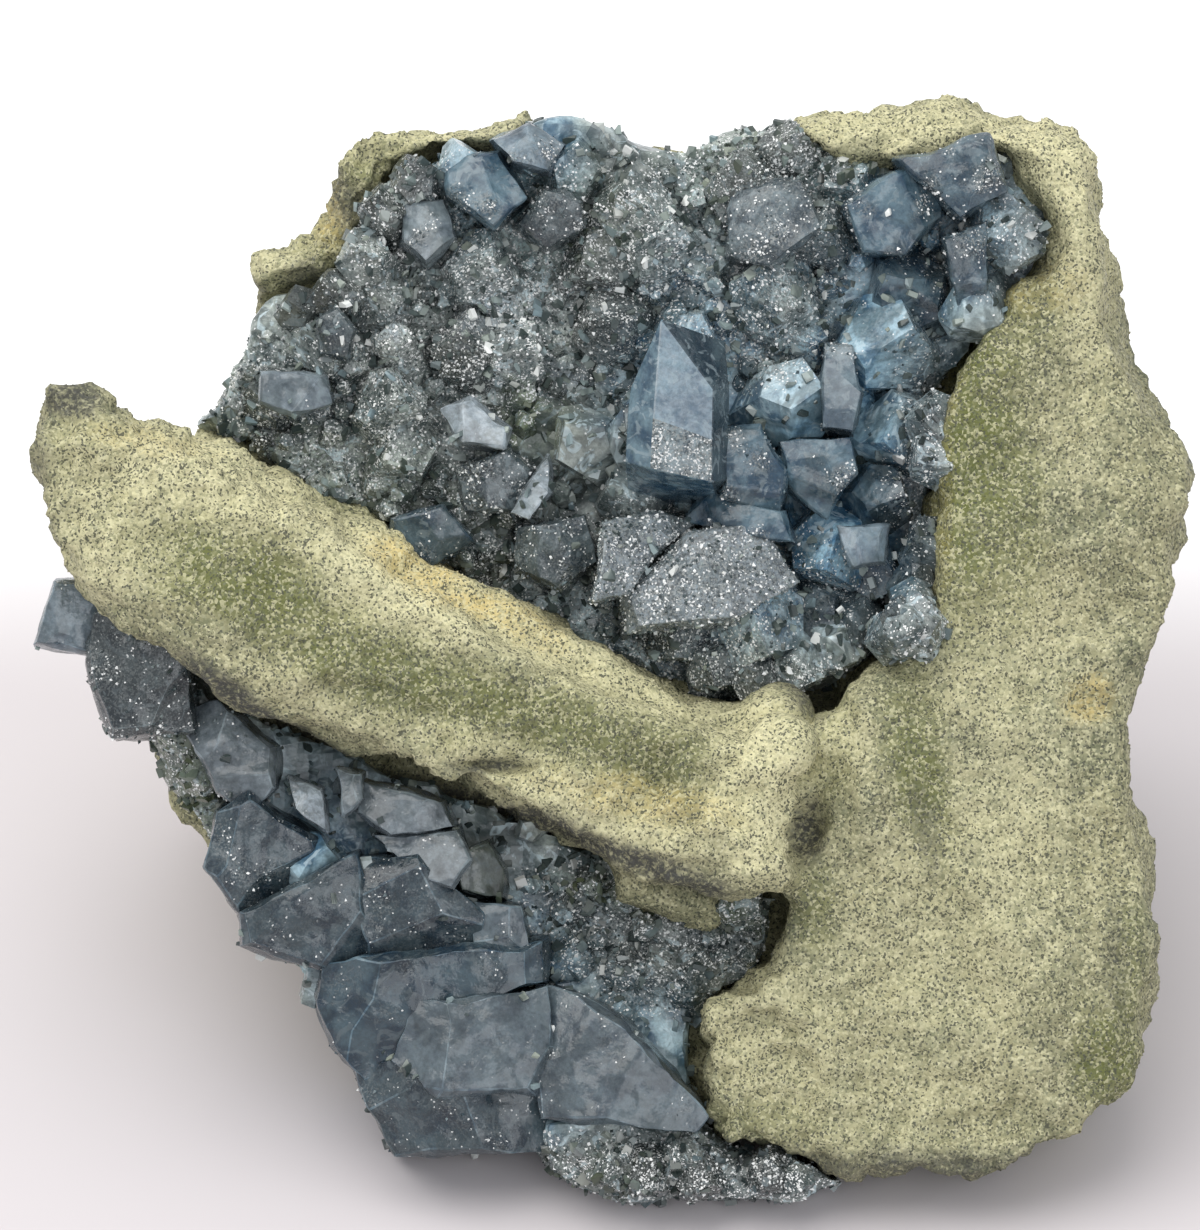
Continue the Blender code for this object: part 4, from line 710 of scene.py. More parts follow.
def quartz_finish(name, clear, gloss, sparkle=0.0, lightness=1.0, glints=1.0, gloomy=0.6):
    """Blue-grey quartz: cloudy inside, with veils, pale, blue, green and shaded zones.

    clear is the share of light that passes through, gloss the roughness of the faces, sparkle how
    far the facets of a fine coat of crystals turn away from the face, glints how many painted
    glints, white dots in the colour, it gets, lightness how light the body is, and gloomy how dark its dark
    zones are.
    """
    shader = Shader(name)
    cloud = shader.noise(2.6, 6.0, 0.62, 0.4)
    veil = shader.noise(0.7, 4.0, 0.6)
    fine = shader.noise(0.3, 3.0, 0.7)
    sugar = shader.attribute("sugar")

    def tinted(colour):
        return tuple(channel * lightness for channel in colour)

    cloudy = shader.ease(cloud, 0.40, 0.60)
    body = shader.mix(cloudy, tinted((0.045, 0.058, 0.055)), tinted((0.24, 0.27, 0.25)))
    body = shader.zone(body, "tone", 0.3, tinted((0.25, 0.26, 0.24)))
    cloudy = shader.ease(cloud, 0.38, 0.62)
    deep = shader.mix(cloudy, tinted((0.024, 0.078, 0.140)), tinted((0.175, 0.290, 0.360)))
    body = shader.zone(body, "blue", 0.95, deep)
    body = shader.zone(body, "green", 0.7, tinted((0.13, 0.16, 0.075)))
    # Pale zones: the crystals' own pale parts, and the painted highlight of the blue point's front and
    # painted reflection of the white blocks
    body = shader.zone(body, "pale", shader.ease(veil, 0.25, 0.7, 0.35, 1.0), (0.42, 0.49, 0.54))
    body = shader.zone(body, "shade", 0.75, tinted((0.026, 0.032, 0.034)))
    specked = shader.math("ADD", 0.2, shader.times(sugar, 0.5))
    body = shader.mix(shader.times(shader.ease(fine, 0.42, 0.60), specked), body, (0.022, 0.028, 0.027))
    veils = shader.noise(1.8, 3.0, 0.5, 2.2)
    body = shader.mix(shader.ease(veils, 0.55, 0.63, 0.0, 0.45), body, tinted((0.34, 0.42, 0.45)))
    body = shader.mix(shader.times(shader.gloom(), gloomy), body, tinted((0.018, 0.032, 0.034)))
    points = shader.cells(0.12)
    point_tone = shader.tones(points)
    grey_points = shader.times(sugar, shader.ease(point_tone[1], 0.45, 0.9, 0.0, 0.75))
    body = shader.mix(grey_points, body, (0.30, 0.32, 0.31))
    # Painted glints: white dots in the colour, crowded where the crystals are sugary
    cluster = shader.ease(shader.noise(1.5, 3.0, 0.6), 0.42, 0.62, 0.05 * glints, 0.26 * glints)
    count = shader.math("ADD", point_tone[0], shader.times(sugar, cluster))
    body = shader.mix(shader.ease(count, 0.995, 1.01, 0.0, 0.95), body, (0.90, 0.91, 0.89))
    relief = shader.bump(shader.noise(1.1, 3.0), 0.5, 0.22)
    relief = shader.bump(shader.noise(0.28, 2.0), 0.25, 0.05, relief)
    if sparkle > 0.0:
        shift = shader.vector("SUBTRACT", points.outputs["Color"], (0.5, 0.5, 0.5))
        lean = shader.vector("SCALE", shift, scale=shader.times(sugar, sparkle))
        relief = shader.vector("NORMALIZE", shader.vector("ADD", relief, lean))
    return shader.finish(base_color=body, roughness=gloss, ior=QUARTZ_IOR, transmission_weight=clear,
                         normal=relief)


def shard_finish():
    """Broken bits of crystal: most of them dark teal or grey-green, a few painted white as glints."""
    shader = Shader("quartz_shards")
    tone = shader.attribute("tone")
    tint = shader.mix(shader.attribute("dark"), (0.33, 0.37, 0.31), (0.25, 0.34, 0.37))
    base = shader.mix(shader.ease(tone, 0.20, 0.60), (0.060, 0.080, 0.075), tint)
    base = shader.mix(shader.ease(tone, 0.74, 0.9, 0.0, 0.6), base, (0.42, 0.45, 0.43))
    # Painted glints: the shards of the highest tones are painted white
    base = shader.mix(shader.ease(tone, 0.92, 0.95, 0.0, 0.9), base, (0.88, 0.90, 0.87))
    base = shader.zone(base, "shade", 0.7, (0.02, 0.025, 0.027))
    base = shader.zone(base, "green", 0.6, (0.13, 0.15, 0.06))
    gloom = shader.times(shader.gloom(), shader.ease(tone, 0.88, 0.94, 0.55, 0.0))
    base = shader.mix(gloom, base, (0.022, 0.036, 0.038))
    relief = shader.bump(shader.noise(0.3, 3.0), 0.3, 0.06)
    return shader.finish(base_color=base, roughness=0.16, ior=QUARTZ_IOR, transmission_weight=0.15,
                         normal=relief)


def glitter_finish():
    """The finest crystal points: some painted white as glints, the others grey to dark, or blue where the
    bed is.
    """
    shader = Shader("sugar_quartz")
    tone = shader.attribute("tone")
    grey = shader.ease(tone, 0.2, 0.7)
    base = shader.mix(grey, (0.055, 0.075, 0.073), (0.33, 0.37, 0.35))
    base = shader.zone(base, "blue", 0.6, shader.mix(grey, (0.035, 0.075, 0.110), (0.20, 0.29, 0.34)))
    base = shader.mix(shader.times(shader.gloom(), 0.45), base, (0.025, 0.038, 0.040))
    base = shader.zone(base, "shade", 0.7, (0.03, 0.04, 0.042))
    # Painted glints: the points of the highest tones are painted white
    base = shader.mix(shader.ease(tone, 0.70, 0.76, 0.0, 0.95), base, (0.93, 0.94, 0.92))
    return shader.finish(base_color=base, roughness=0.12, ior=QUARTZ_IOR, transmission_weight=0.1)


def join_rings(bm, near, far):
    """Adds the faces between two rings of corners."""
    count = len(near)
    faces = []
    for index in range(count):
        after = (index + 1) % count
        faces.append(bm.faces.new((near[index], far[index], far[after], near[after])))
    return faces


def slab(target, outline, front, back):
    """Adds a slab of the face, from its sloping front straight back."""
    level, slope_across, slope_up = front
    front_ring = []
    back_ring = []
    for across, up in outline:
        depth = level + slope_across * across + slope_up * up - CRUST_EDGE_DROP
        front_ring.append(target.verts.new(on_face(across, up, depth)))
        back_ring.append(target.verts.new(on_face(across, up, back)))
    faces = [target.faces.new(front_ring), target.faces.new(list(reversed(back_ring)))]
    faces += join_rings(target, front_ring, back_ring)
    bmesh.ops.recalc_face_normals(target, faces=faces)


def cut_off(bm, place, direction):
    """Cuts away what lies beyond a plane and closes the cut."""
    geometry = bm.verts[:] + bm.edges[:] + bm.faces[:]
    result = bmesh.ops.bisect_plane(bm, geom=geometry, dist=1e-7, plane_co=place, plane_no=direction,
                                    clear_outer=True)
    rim = [edge for edge in result["geom_cut"] if isinstance(edge, bmesh.types.BMEdge)]
    if rim:
        bmesh.ops.contextual_create(bm, geom=rim)


def quartz_point(half_width, length, turn, rng):
    """One crystal along +Z with its tip at the origin: six sides under large and small end faces."""
    bm = bmesh.new()
    bmesh.ops.create_cube(bm, size=2.0 * length)
    setback = rng.uniform(*END_FACE_SETBACK) * half_width
    for side in range(6):
        angle = turn + side * math.tau / 6.0
        outward = Vector((math.cos(angle), math.sin(angle), 0.0))
        cut_off(bm, outward * half_width * rng.uniform(*SIDE_REACH), outward)
        slope = outward * math.sin(END_FACE_SLOPE) + Vector((0, 0, math.cos(END_FACE_SLOPE)))
        cut_off(bm, slope * setback * (side % 2), slope)
    bmesh.ops.recalc_face_normals(bm, faces=bm.faces)
    return bm


def add_crystal(target, row, root, rng, tone):
    """Adds a crystal of a list, long enough to reach down to its root depth."""
    across, up, out, half_width, lean_right, lean_up = row
    turn = rng.uniform(0.0, math.tau / 6.0)
    tip = on_face(across, up, out)
    lean = Vector((math.tan(math.radians(lean_right)), math.tan(math.radians(lean_up)), 1.0)).normalized()
    axis = (on_face(lean.x, lean.y, lean.z) - on_face(0, 0, 0)).normalized()
    length = max((out - root) / lean.z, half_width * LEAST_LENGTH)
    crystal = quartz_point(half_width * MM, length * MM, turn, rng)
    rearward = axis.cross(Vector((1, 0, 0))).normalized()
    sideways = rearward.cross(axis)
    turned = Matrix((sideways, rearward, axis)).transposed().to_4x4()
    bmesh.ops.transform(crystal, matrix=Matrix.Translation(tip) @ turned, verts=crystal.verts)
    store(crystal, "tone", tone)
    add_form(target, crystal)


def add_block(target, row, root, rng):
    """Adds a blocky crystal: its front face, cut back by a few facets, slanting sides, and its root."""
    look, level, slope_across, slope_up, corners = row
    middle_across = sum(across for across, up in corners) / len(corners)
    middle_up = sum(up for across, up in corners) / len(corners)
    bm = bmesh.new()
    rings = []
    for spread, drop in BLOCK_SIDES:
        ring = []
        for across, up in corners:
            right = (across - middle_across) * spread
            rise = (up - middle_up) * spread
            depth = root
            if drop is not None:
                drop_here = drop * rng.uniform(*DROP_VARIATION)
                depth = level + slope_across * right + slope_up * rise - drop_here
            ring.append(bm.verts.new(on_face(middle_across + right, middle_up + rise, depth)))
        rings.append(ring)
    bm.faces.new(rings[0])
    bm.faces.new(list(reversed(rings[-1])))
    for near, far in zip(rings, rings[1:]):
        join_rings(bm, near, far)
    bmesh.ops.recalc_face_normals(bm, faces=bm.faces)
    sides = list(range(len(corners)))
    rng.shuffle(sides)
    for index in sides[:BLOCK_FACETS]:
        after = (index + 1) % len(corners)
        right = (corners[index][0] + corners[after][0]) / 2.0 - middle_across
        rise = (corners[index][1] + corners[after][1]) / 2.0 - middle_up
        share = rng.uniform(*FACET_PLACE)
        place = on_face(middle_across + share * right, middle_up + share * rise,
                        level + share * (slope_across * right + slope_up * rise))
        tilt = math.radians(rng.uniform(*FACET_TILT))
        plane = Vector((-slope_across, -slope_up, 1.0)).normalized() * math.cos(tilt)
        plane += Vector((right, rise, 0.0)).normalized() * math.sin(tilt)
        cut_off(bm, place, on_face(*plane) - on_face(0, 0, 0))
    shares = (*LOOKS[look], 0.8 * (look == "green"), rng.random(), 1.0)
    for name, share in zip((*LOOK_NAMES, "block"), shares):
        store(bm, name, share)
    add_form(target, bm)


def blocks_of(name, rows, root, seed):
    """All blocky crystals of a bed, with their looks stored on them."""
    rng = random.Random(seed)
    bm = bmesh.new()
    for look in (*LOOK_NAMES, "block"):
        bm.verts.layers.float.new(look)
    for row in rows:
        add_block(bm, row, root, rng)
    return object_from(bm, name)


def blue_point(finish):
    """The single blue point: a kite-shaped front painted pale as a painted highlight, blue sides painted
    darker as painted shade, most on the right, and a sugary foot.
    """
    bm = bmesh.new()
    for corner in BLUE_POINT:
        bm.verts.new(on_face(*corner))
    bmesh.ops.convex_hull(bm, input=bm.verts)
    bmesh.ops.dissolve_limit(bm, angle_limit=math.radians(3.0), verts=bm.verts, edges=bm.edges)
    bmesh.ops.recalc_face_normals(bm, faces=bm.faces)
    item = object_from(bm, "blue_point")
    item.data.materials.append(finish)
    round_edges(item, POINT_BEVEL)
    mesh = item.data
    right = Vector((1, 0, 0))
    rise = (on_face(0, 1, 0) - on_face(0, 0, 0)) / MM
    outward = (on_face(0, 0, 1) - on_face(0, 0, 0)) / MM
    shares = {name: [] for name in LOOK_NAMES}
    for face in mesh.polygons:
        aside = face.normal.dot(right)
        front = face.normal.dot(outward) > 0.9
        upper = face.normal.dot(rise) > 0.12
        # Painted light by face direction: faces that look out and up are painted pale as a painted
        # highlight, those that look right get strong painted shade and those that look left a little
        shares["blue"].append(0.4 if front and not upper else 0.95)
        shares["pale"].append(0.6 if front and upper else 0.1 if front else 0.0)
        shares["shade"].append(0.95 if aside > 0.3 else 0.3 if aside < -0.3 else 0.0)
        shares["sugar"].append(1.0 if front and not upper else 0.0)
        shares["green"].append(0.0)
        shares["tone"].append(0.3)
    for name, values in shares.items():
        mesh.attributes.new(name, "FLOAT", "FACE").data.foreach_set("value", values)
    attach(item, "root")
    return item


def inside(outline, across, up):
    """Whether a point of the face lies within an outline."""
    hit = False
    before = outline[-1]
    for point in outline:
        if (point[1] > up) != (before[1] > up):
            crossing = before[0] + (up - before[1]) * (point[0] - before[0]) / (point[1] - before[1])
            if across < crossing:
                hit = not hit
        before = point
    return hit


def filler_rows(outline, level, crystals, filler, rng):
    """Small crystals between the named ones, on a jittered grid, wholly inside the outline."""
    spacing, half_widths, keep_clear, rises = filler
    rows = []
    acrosses, ups = zip(*outline)
    up = min(ups)
    while up < max(ups):
        across = min(acrosses)
        while across < max(acrosses):
            place_across = across + rng.uniform(-FILLER_JITTER, FILLER_JITTER) * spacing
            place_up = up + rng.uniform(-FILLER_JITTER, FILLER_JITTER) * spacing
            half_width = rng.uniform(*half_widths)
            lean = (rng.uniform(*FILLER_LEAN_RIGHT), rng.uniform(*FILLER_LEAN_UP))
            rise = rng.uniform(*rises)
            clear = all(math.hypot(row[0] - place_across, row[1] - place_up) > keep_clear * row[3]
                        for row in crystals)
            sides = ((place_across - half_width, place_up), (place_across + half_width, place_up),
                     (place_across, place_up - half_width), (place_across, place_up + half_width))
            if clear and all(inside(outline, *side) for side in sides):
                depth = level[0] + level[1] * place_across + level[2] * place_up
                rows.append((place_across, place_up, depth + rise, half_width, *lean))
            across += spacing
        up += spacing
    return rows


def crust(name, slabs, seed):
    """The lumpy base that the crystals of a bed stand on."""
    bm = bmesh.new()
    for outline, front, back in slabs:
        slab(bm, outline, front, back)
    item = object_from(bm, name)
    remesh = item.modifiers.new("Fuse", "REMESH")
    remesh.mode = "VOXEL"
    remesh.voxel_size = CRUST_VOXEL * MM
    apply_modifiers(item)
    places = vertex_places(item.data)
    move = relief_at(places, CRUST_RELIEF, seed) - CRUST_SINK
    set_places(item.data, places + vertex_normals(item.data) * move[:, None] * MM)
    return item


def keep_above_floor(item):
    places = vertex_places(item.data)
    places[:, 2] = np.maximum(places[:, 2], FLOOR_GAP * MM)
    set_places(item.data, places)


def round_edges(item, width, rim_slot=-1):
    """Bevels the edges, in the finish of the given slot, or in the finish of the faces beside them."""
    step = item.modifiers.new("Edges", "BEVEL")
    step.material = rim_slot
    step.width = width * MM
    step.segments = 1
    step.limit_method = "ANGLE"
    step.angle_limit = BEVEL_ANGLE
    apply_modifiers(item)


def weather(item, seed, sugary):
    """Makes the cut faces of blocks uneven, and lets fine crystals grow on parts of them."""
    bm = bmesh.new()
    bm.from_mesh(item.data)
    bmesh.ops.triangulate(bm, faces=bm.faces)
    for _ in range(WEATHER_ROUNDS):
        long_edges = [edge for edge in bm.edges if edge.calc_length() > WEATHER_EDGE * MM]
        bmesh.ops.subdivide_edges(bm, edges=long_edges, cuts=1)
        bmesh.ops.triangulate(bm, faces=bm.faces)
    bm.to_mesh(item.data)
    bm.free()
    mesh = item.data
    places = vertex_places(mesh)
    move = relief_at(places, BLOCK_RELIEF, seed)
    growth = np.zeros(len(places), np.float32)
    mesh.attributes["sugar"].data.foreach_get("value", growth)
    grown = np.clip(noise_at(places, BLOCK_GROWTH_SIZE, seed + 2) - BLOCK_GROWTH_START, 0.0, 1.0)
    growth = np.clip(growth + sugary * grown, 0.0, 1.0)
    mesh.attributes["sugar"].data.foreach_set("value", growth)
    set_places(mesh, places + vertex_normals(mesh) * move[:, None] * MM)
    mesh.shade_smooth()
    mesh.set_sharp_from_angle(angle=SHARP_ANGLE)


def joined(items, name):
    """Joins objects into one, keeping their materials and attributes."""
    with bpy.context.temp_override(active_object=items[0], selected_editable_objects=items):
        bpy.ops.object.join()
    items[0].name = name
    items[0].data.name = name
    return items[0]


def crystal_bed(name, slabs, groups, fillers, blocks, seed, node, finishes, sugary=0.0):
    """A crust with its crystals, standing where the solid of the same bed does.

    seed is the start of its random draws, and sugary how much fine crystal grows on its blocks.
    """
    cloudy, clear, druse, chunky, rim = finishes
    rng = random.Random(seed)
    tones = random.Random(seed + 100)
    bodies = {"cloudy": bmesh.new(), "clear": bmesh.new()}
    for bm in bodies.values():
        bm.verts.layers.float.new("tone")
    covers = [row[-1] for row in blocks]
    covers.append([(corner[0], corner[1]) for corner in BLUE_POINT[:4]])

    def free(row):
        return not any(inside(cover, row[0], row[1]) for cover in covers)

    rows = [(row, root, CLEAR_SHARES[0]) for crystals, root in groups for row in crystals]
    outline, front, _ = slabs[0]
    crystals, root = groups[0]
    for filler, clear_share in zip(fillers, CLEAR_SHARES[1:]):
        rows += [(row, root, clear_share) for row in filler_rows(outline, front, crystals, filler, rng)]
    for row, row_root, clear_share in rows:
        kind = "clear" if tones.random() < clear_share else "cloudy"
        if free(row):
            add_crystal(bodies[kind], row, row_root, rng, tones.random())
    pieces = []
    for kind, finish in (("cloudy", cloudy), ("clear", clear)):
        item = object_from(bodies[kind], f"{name}_{kind}")
        item.data.materials.append(finish)
        round_edges(item, CRYSTAL_BEVEL)
        pieces.append(item)
    base = crust(f"{name}_crust", slabs, seed)
    base.data.materials.append(druse)
    pieces.append(base)
    for item in pieces:
        paint(item.data, QUARTZ_PATCHES)
    if blocks:
        block_item = blocks_of(f"{name}_blocks", blocks, root, seed)
        block_item.data.materials.append(chunky)
        block_item.data.materials.append(rim)
        # The bevelled block edges take the rim finish, a painted edge highlight
        round_edges(block_item, BLOCK_BEVEL, 1)
        weather(block_item, seed + 30, sugary)
        pieces.append(block_item)
    for item in pieces:
        keep_above_floor(item)
    bed = joined(pieces, name)
    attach(bed, "root")
    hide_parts(node)
    return bed


def granular_rock(finish):
    """The host rock with its fine relief, kept inside the solid's box and on the same flat base."""
    bm = bmesh.new()
    bm.from_mesh(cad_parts["host_rock"].data)
    bmesh.ops.remove_doubles(bm, verts=bm.verts, dist=1e-6)
    rock = object_from(bm, "granular_matrix")
    remesh = rock.modifiers.new("Refine", "REMESH")
    remesh.mode = "VOXEL"
    remesh.voxel_size = ROCK_VOXEL * MM
    soften = rock.modifiers.new("Soften", "SMOOTH")
    soften.factor = 0.5
    soften.iterations = 3
    apply_modifiers(rock)
    mesh = rock.data
    places = vertex_places(mesh)
    normals = vertex_normals(mesh)
    across, up, out = face_places(places)
    ragged = patch_cover(across, up, RAGGED_ZONES, 0.0)
    move = sum((height + more * ragged) * noise_at(places, size, seed)
               for seed, (height, more, size) in enumerate(ROCK_RELIEF, 1))
    move = move - ROCK_SINK - RAGGED_SINK * ragged
    for *place, depth in ROCK_HOLLOWS:
        pit = patch_cover(across, up, [(*place, 1.0)], 0.0)
        move -= depth * pit * np.clip((out - HOLLOW_REAR) / HOLLOW_FADE, 0.0, 1.0)
    settle = np.clip(places[:, 2] / (ROCK_SETTLE * MM), 0.0, 1.0)
    places = places + normals * (move * settle)[:, None] * MM
    low, high = (np.array(corner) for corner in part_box("host_rock"))
    set_places(mesh, np.clip(places, low, high))
    mesh.materials.clear()
    mesh.materials.append(finish)
    paint(mesh, ROCK_PATCHES)
    mesh.shade_smooth()
    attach(rock, "root")
    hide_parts("host_rock")
    return rock


def shard(seed):
    """An angular bit of crystal about one unit across, flattened."""
    rng = random.Random(seed)
    bm = bmesh.new()
    bmesh.ops.create_cube(bm, size=1.0)
    for _ in range(SHARD_CUTS):
        direction = Vector((rng.gauss(0, 1), rng.gauss(0, 1), rng.gauss(0, 1))).normalized()
        cut_off(bm, direction * rng.uniform(*SHARD_REACH), direction)
    bmesh.ops.scale(bm, vec=(1.0, rng.uniform(*SHARD_WIDTH), SHARD_THICKNESS), verts=bm.verts)
    bmesh.ops.triangulate(bm, faces=bm.faces)
    return bm


def grain(seed, height=1.0):
    """A fine grain about one unit across, an uneven octahedron."""
    rng = random.Random(seed)
    bm = bmesh.new()
    for axis in range(3):
        for side in (-1.0, 1.0):
            corner = Vector([rng.uniform(-GRAIN_SHIFT, GRAIN_SHIFT) for _ in range(3)])
            corner[axis] = side * rng.uniform(*GRAIN_REACH)
            corner.z *= height
            bm.verts.new(corner)
    bmesh.ops.convex_hull(bm, input=bm.verts)
    bmesh.ops.recalc_face_normals(bm, faces=bm.faces)
    return bm


def small_forms(name, made):
    """The small forms to strew, as objects that aren't in the scene themselves."""
    return [bpy.data.objects.new(f"{name}_{index}", mesh_from(bm, f"{name}_{index}"))
            for index, bm in enumerate(made)]


def scatter_tree(forms, finish, seed):
    """Strews small forms over a surface, more of them where the surface's own attribute says so."""
    tree = bpy.data.node_groups.new("strewn_" + finish.name, "GeometryNodeTree")
    tree.interface.new_socket("Geometry", in_out="INPUT", socket_type="NodeSocketGeometry")
    sockets = {name: tree.interface.new_socket(name, in_out="INPUT", socket_type="NodeSocketFloat")
               for name in STREWN_SETTINGS}
    tree.interface.new_socket("Geometry", in_out="OUTPUT", socket_type="NodeSocketGeometry")
    given = tree.nodes.new("NodeGroupInput")
    result = tree.nodes.new("NodeGroupOutput")

    def node(kind, **settings):
        return add_node(tree, kind, **settings)

    def link(source, target):
        tree.links.new(source, target)

    def random_value(low, high, offset, data_type="FLOAT", kind="VALUE"):
        """A random value for each form, from low to high, with its own seed."""
        made = node("FunctionNodeRandomValue", data_type=data_type)
        for name, value in (("Min", low), ("Max", high)):
            socket = [s for s in made.inputs if s.name == name and s.type == kind][0]
            if isinstance(value, bpy.types.NodeSocket):
                link(value, socket)
            else:
                socket.default_value = value
        made.inputs["Seed"].default_value = seed + offset
        return [s for s in made.outputs if s.type == kind][0]

    growth = node("GeometryNodeInputNamedAttribute", data_type="FLOAT")
    growth.inputs["Name"].default_value = "growth"
    density = node("ShaderNodeMath", operation="MULTIPLY")
    link(given.outputs["Density"], density.inputs[0])
    link(growth.outputs["Attribute"], density.inputs[1])
    spread = node("GeometryNodeDistributePointsOnFaces", distribute_method="RANDOM")
    link(given.outputs["Geometry"], spread.inputs["Mesh"])
    link(density.outputs[0], spread.inputs["Density"])
    spread.inputs["Seed"].default_value = seed

    collection = bpy.data.collections.new("forms_" + finish.name)
    for form in forms:
        collection.objects.link(form)
    source = node("GeometryNodeCollectionInfo", transform_space="ORIGINAL")
    source.inputs["Collection"].default_value = collection
    source.inputs["Separate Children"].default_value = True
    source.inputs["Reset Children"].default_value = True

    tilt = node("FunctionNodeEulerToRotation")
    wobble = node("ShaderNodeVectorMath", operation="SCALE")
    link(random_value((-1, -1, -1), (1, 1, 1), 1, "FLOAT_VECTOR", "VECTOR"), wobble.inputs[0])
    link(given.outputs["Sideways"], wobble.inputs["Scale"])
    link(wobble.outputs[0], tilt.inputs[0])
    turned = node("FunctionNodeRotateRotation", rotation_space="LOCAL")
    link(spread.outputs["Rotation"], turned.inputs["Rotation"])
    link(tilt.outputs[0], turned.inputs["Rotate By"])

    placed = node("GeometryNodeInstanceOnPoints")
    link(spread.outputs["Points"], placed.inputs["Points"])
    link(source.outputs[0], placed.inputs["Instance"])
    placed.inputs["Pick Instance"].default_value = True
    link(turned.outputs[0], placed.inputs["Rotation"])
    link(random_value(given.outputs["Smallest"], given.outputs["Largest"], 2), placed.inputs["Scale"])
    link(random_value(0, len(forms) - 1, 3, "INT", "INT"), placed.inputs["Instance Index"])

    flow = placed.outputs["Instances"]
    for name, offset in (("tone", 4), ("dark", 5)):
        keep = node("GeometryNodeStoreNamedAttribute", data_type="FLOAT", domain="INSTANCE")
        keep.inputs["Name"].default_value = name
        link(flow, keep.inputs["Geometry"])
        value = [s for s in keep.inputs if s.name == "Value" and s.type == "VALUE"][0]
        link(random_value(0.0, 1.0, offset), value)
        flow = keep.outputs["Geometry"]
    realize = node("GeometryNodeRealizeInstances")
    link(flow, realize.inputs[0])
    coat = node("GeometryNodeSetMaterial")
    coat.inputs["Material"].default_value = finish
    link(realize.outputs[0], coat.inputs["Geometry"])
    link(coat.outputs[0], result.inputs[0])
    return tree, {name: socket.identifier for name, socket in sockets.items()}


def strewn(name, ground, growth, tree, sizes):
    """Grows small forms on a ground mesh and keeps the result as a plain mesh of its own."""
    base = bpy.data.objects.new(name, ground.data.copy())
    bpy.context.scene.collection.objects.link(base)
    attribute = base.data.attributes.new("growth", "FLOAT", "POINT")
    attribute.data.foreach_set("value", np.ascontiguousarray(growth, np.float32))
    group, identifiers = tree
    grow = base.modifiers.new("Strewn", "NODES")
    grow.node_group = group
    density, smallest, largest, sideways = sizes
    for setting, value in zip(STREWN_SETTINGS, (density, smallest * MM, largest * MM, sideways)):
        grow[identifiers[setting]] = value
    apply_modifiers(base)
    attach(base, "root")
    return base


def facing(mesh):
    """How much each vertex looks out of the crystal face, from -1 to 1."""
    outward = np.array(on_face(0, 0, 1) - on_face(0, 0, 0)) / MM
    return vertex_normals(mesh) @ outward


def area_light(name, size, power, direction, distance, colour):
    light = bpy.data.lights.new(name, "AREA")
    light.shape = "DISK"
    light.size = size
    light.energy = power
    light.color = colour
    item = bpy.data.objects.new(name, light)
    away = Vector(direction).normalized()
    target = Vector((0, 0, FACE_CENTRE_HEIGHT * MM))
    item.location = target + away * distance
    item.rotation_euler = away.to_track_quat("Z", "Y").to_euler()
    bpy.context.scene.collection.objects.link(item)


def studio():
    """A pale floor painted greyer towards the front as painted shade, a soft key light from above and
    behind, and a fill from the front.
    """
    shader = Shader("pale_floor")
    separate = shader.node("ShaderNodeSeparateXYZ")
    shader.feed(separate.inputs[0], shader.place)
    # Painted shade: greyer towards the front
    colour = shader.mix(shader.ease(separate.outputs["Y"], *FLOOR_SHADE_FADE), FLOOR_NEAR_SHADED, FLOOR_FAR)
    finish = shader.finish(base_color=colour, roughness=0.85)
    bm = bmesh.new()
    bmesh.ops.create_grid(bm, x_segments=1, y_segments=1, size=FLOOR_HALF_WIDTH)
    floor = object_from(bm, "floor")
    floor.data.materials.append(finish)

    area_light("key", *KEY)
    area_light("fill", *FILL)
    world = bpy.data.worlds.new("studio")
    world.use_nodes = True
    sky = world.node_tree.nodes["Background"]
    sky.inputs["Color"].default_value = SKY_COLOUR
    sky.inputs["Strength"].default_value = SKY_STRENGTH
    bpy.context.scene.world = world


def camera():
    """Looks straight at the crystal face, framed as the photograph is."""
    data = bpy.data.cameras.new("camera")
    data.sensor_fit = "AUTO"
    data.sensor_width = 36.0
    data.lens = data.sensor_width * CAMERA_DISTANCE / (IMAGE_HEIGHT * PIXEL)
    data.clip_start = 0.05
    data.clip_end = 10.0
    item = bpy.data.objects.new("camera", data)
    back = Vector((0.0, -math.cos(CAMERA_ELEVATION), math.sin(CAMERA_ELEVATION)))
    item.location = on_face(0, 0, 0) + back * CAMERA_DISTANCE * MM
    item.rotation_mode = "QUATERNION"
    item.rotation_quaternion = back.to_track_quat("Z", "Y")
    bpy.context.scene.collection.objects.link(item)
    bpy.context.scene.camera = item


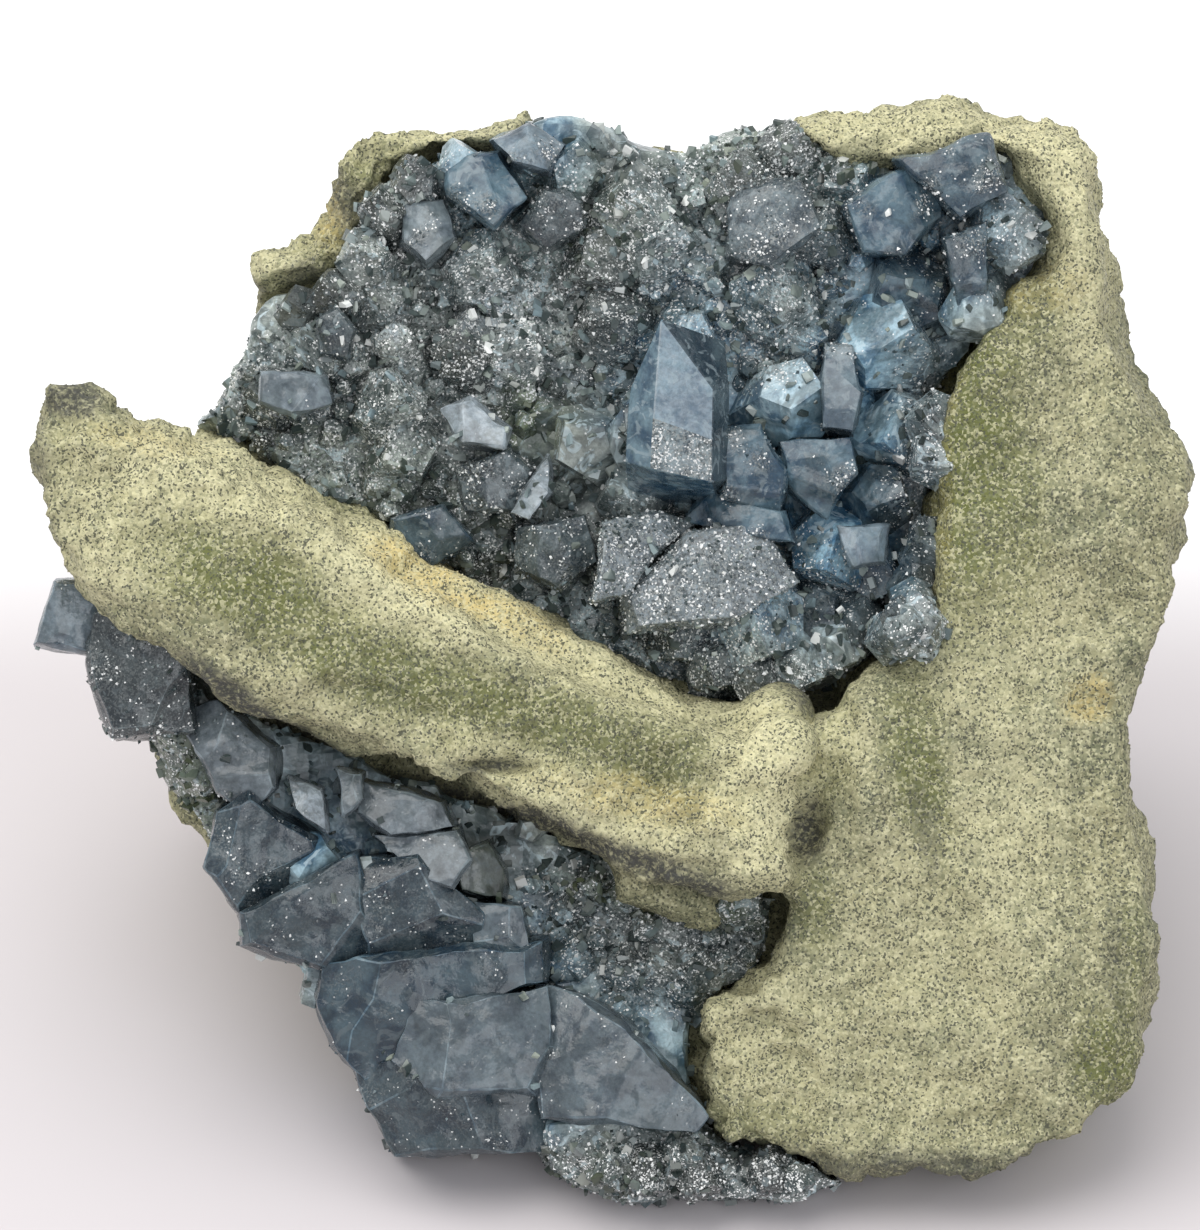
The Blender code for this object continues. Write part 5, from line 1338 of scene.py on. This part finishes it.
def crystal_beds():
    """The three beds and the blue point, each in its own kinds of quartz."""
    cloudy = quartz_finish("cloudy_quartz", clear=0.15, gloss=0.22, sparkle=0.6, lightness=2.0)
    clear = quartz_finish("clear_quartz", clear=0.3, gloss=0.22, sparkle=0.5, lightness=0.8)
    druse = quartz_finish("druse_quartz", clear=0.05, gloss=0.3, sparkle=0.9, lightness=2.1)
    upper_chunky = quartz_finish("upper_block_quartz", clear=0.25, gloss=0.2, sparkle=0.5,
                                 lightness=0.75, glints=0.6, gloomy=0.4)
    lower_chunky = quartz_finish("lower_block_quartz", clear=0.25, gloss=0.2, sparkle=0.5,
                                 lightness=0.37, glints=0.4, gloomy=0.3)
    # Finish of the block edges: a painted edge highlight
    rim = quartz_finish("rim_quartz", clear=0.10, gloss=0.4, lightness=0.65, glints=0.5)
    point = quartz_finish("blue_point_quartz", clear=0.30, gloss=0.07, sparkle=0.6, lightness=1.1,
                          gloomy=0.0)
    upper_finishes = (cloudy, clear, druse, upper_chunky, rim)
    lower_finishes = (cloudy, clear, druse, lower_chunky, rim)
    upper = crystal_bed("upper_quartz", UPPER_SLABS, UPPER_GROUPS, UPPER_FILLERS, UPPER_BLOCKS, 3,
                        "upper_crystal_bed", upper_finishes, 2.2)
    lower = crystal_bed("lower_quartz", LOWER_SLABS, LOWER_GROUPS, LOWER_FILLERS, LOWER_BLOCKS, 5,
                        "lower_crystal_bed", lower_finishes, 0.7)
    side = crystal_bed("side_quartz", SIDE_SLABS, SIDE_GROUPS, (), [], 13, "side_crystal_cluster",
                       lower_finishes)
    blue_point(point)
    return upper, lower, side


def fine_crystals(beds):
    """The finest points on the sugary parts of the beds, and broken bits between the crystals."""
    points = small_forms("druse", (grain(20 + index, DRUSE_HEIGHT) for index in range(5)))
    druse_tree = scatter_tree(points, glitter_finish(), 7)
    shards = small_forms("shard", (shard(60 + index) for index in range(6)))
    shard_tree = scatter_tree(shards, shard_finish(), 17)
    for bed in beds:
        mesh = bed.data
        shares = {}
        for name in ("sugar", "block", "blue"):
            shares[name] = np.zeros(len(mesh.vertices), np.float32)
            if name in mesh.attributes:
                mesh.attributes[name].data.foreach_get("value", shares[name])
        outward = np.clip(facing(mesh) * BED_FACING + LEVEL_GROWTH, 0.0, 1.0)
        growth = np.clip(shares["sugar"] - DRUSE_START, 0.0, 1.0) * outward
        strewn(bed.name.replace("quartz", "druse"), bed, growth, druse_tree, DRUSE)
        crowd = np.clip(0.5 + 1.6 * noise_at(vertex_places(mesh), SHARD_CROWD_SIZE, 21), 0.1, 1.0)
        bare = 1.0 - 0.8 * np.clip(shares["blue"] - 0.6 * shares["sugar"], 0.0, 1.0)
        growth = (1.0 - 0.8 * shares["block"]) * outward * crowd * bare
        strewn(bed.name.replace("quartz", "shards"), bed, growth, shard_tree, SHARDS)


def rock_grains(rock):
    """Loose grains all over the rock, most of them on its face, none at its base."""
    grains = small_forms("grain", (grain(40 + index) for index in range(5)))
    mesh = rock.data
    above_base = vertex_places(mesh)[:, 2] > GRAIN_START * MM
    growth = np.clip(facing(mesh) * ROCK_FACING + LEVEL_GROWTH, REAR_GROWTH, 1.0) * above_base
    strewn("matrix_grains", rock, growth, scatter_tree(grains, grain_finish(), 11), GRAINS)


rock = granular_rock(rock_finish())
fine_crystals(crystal_beds())
rock_grains(rock)
studio()
camera()
bpy.context.scene.view_settings.view_transform = "Standard"
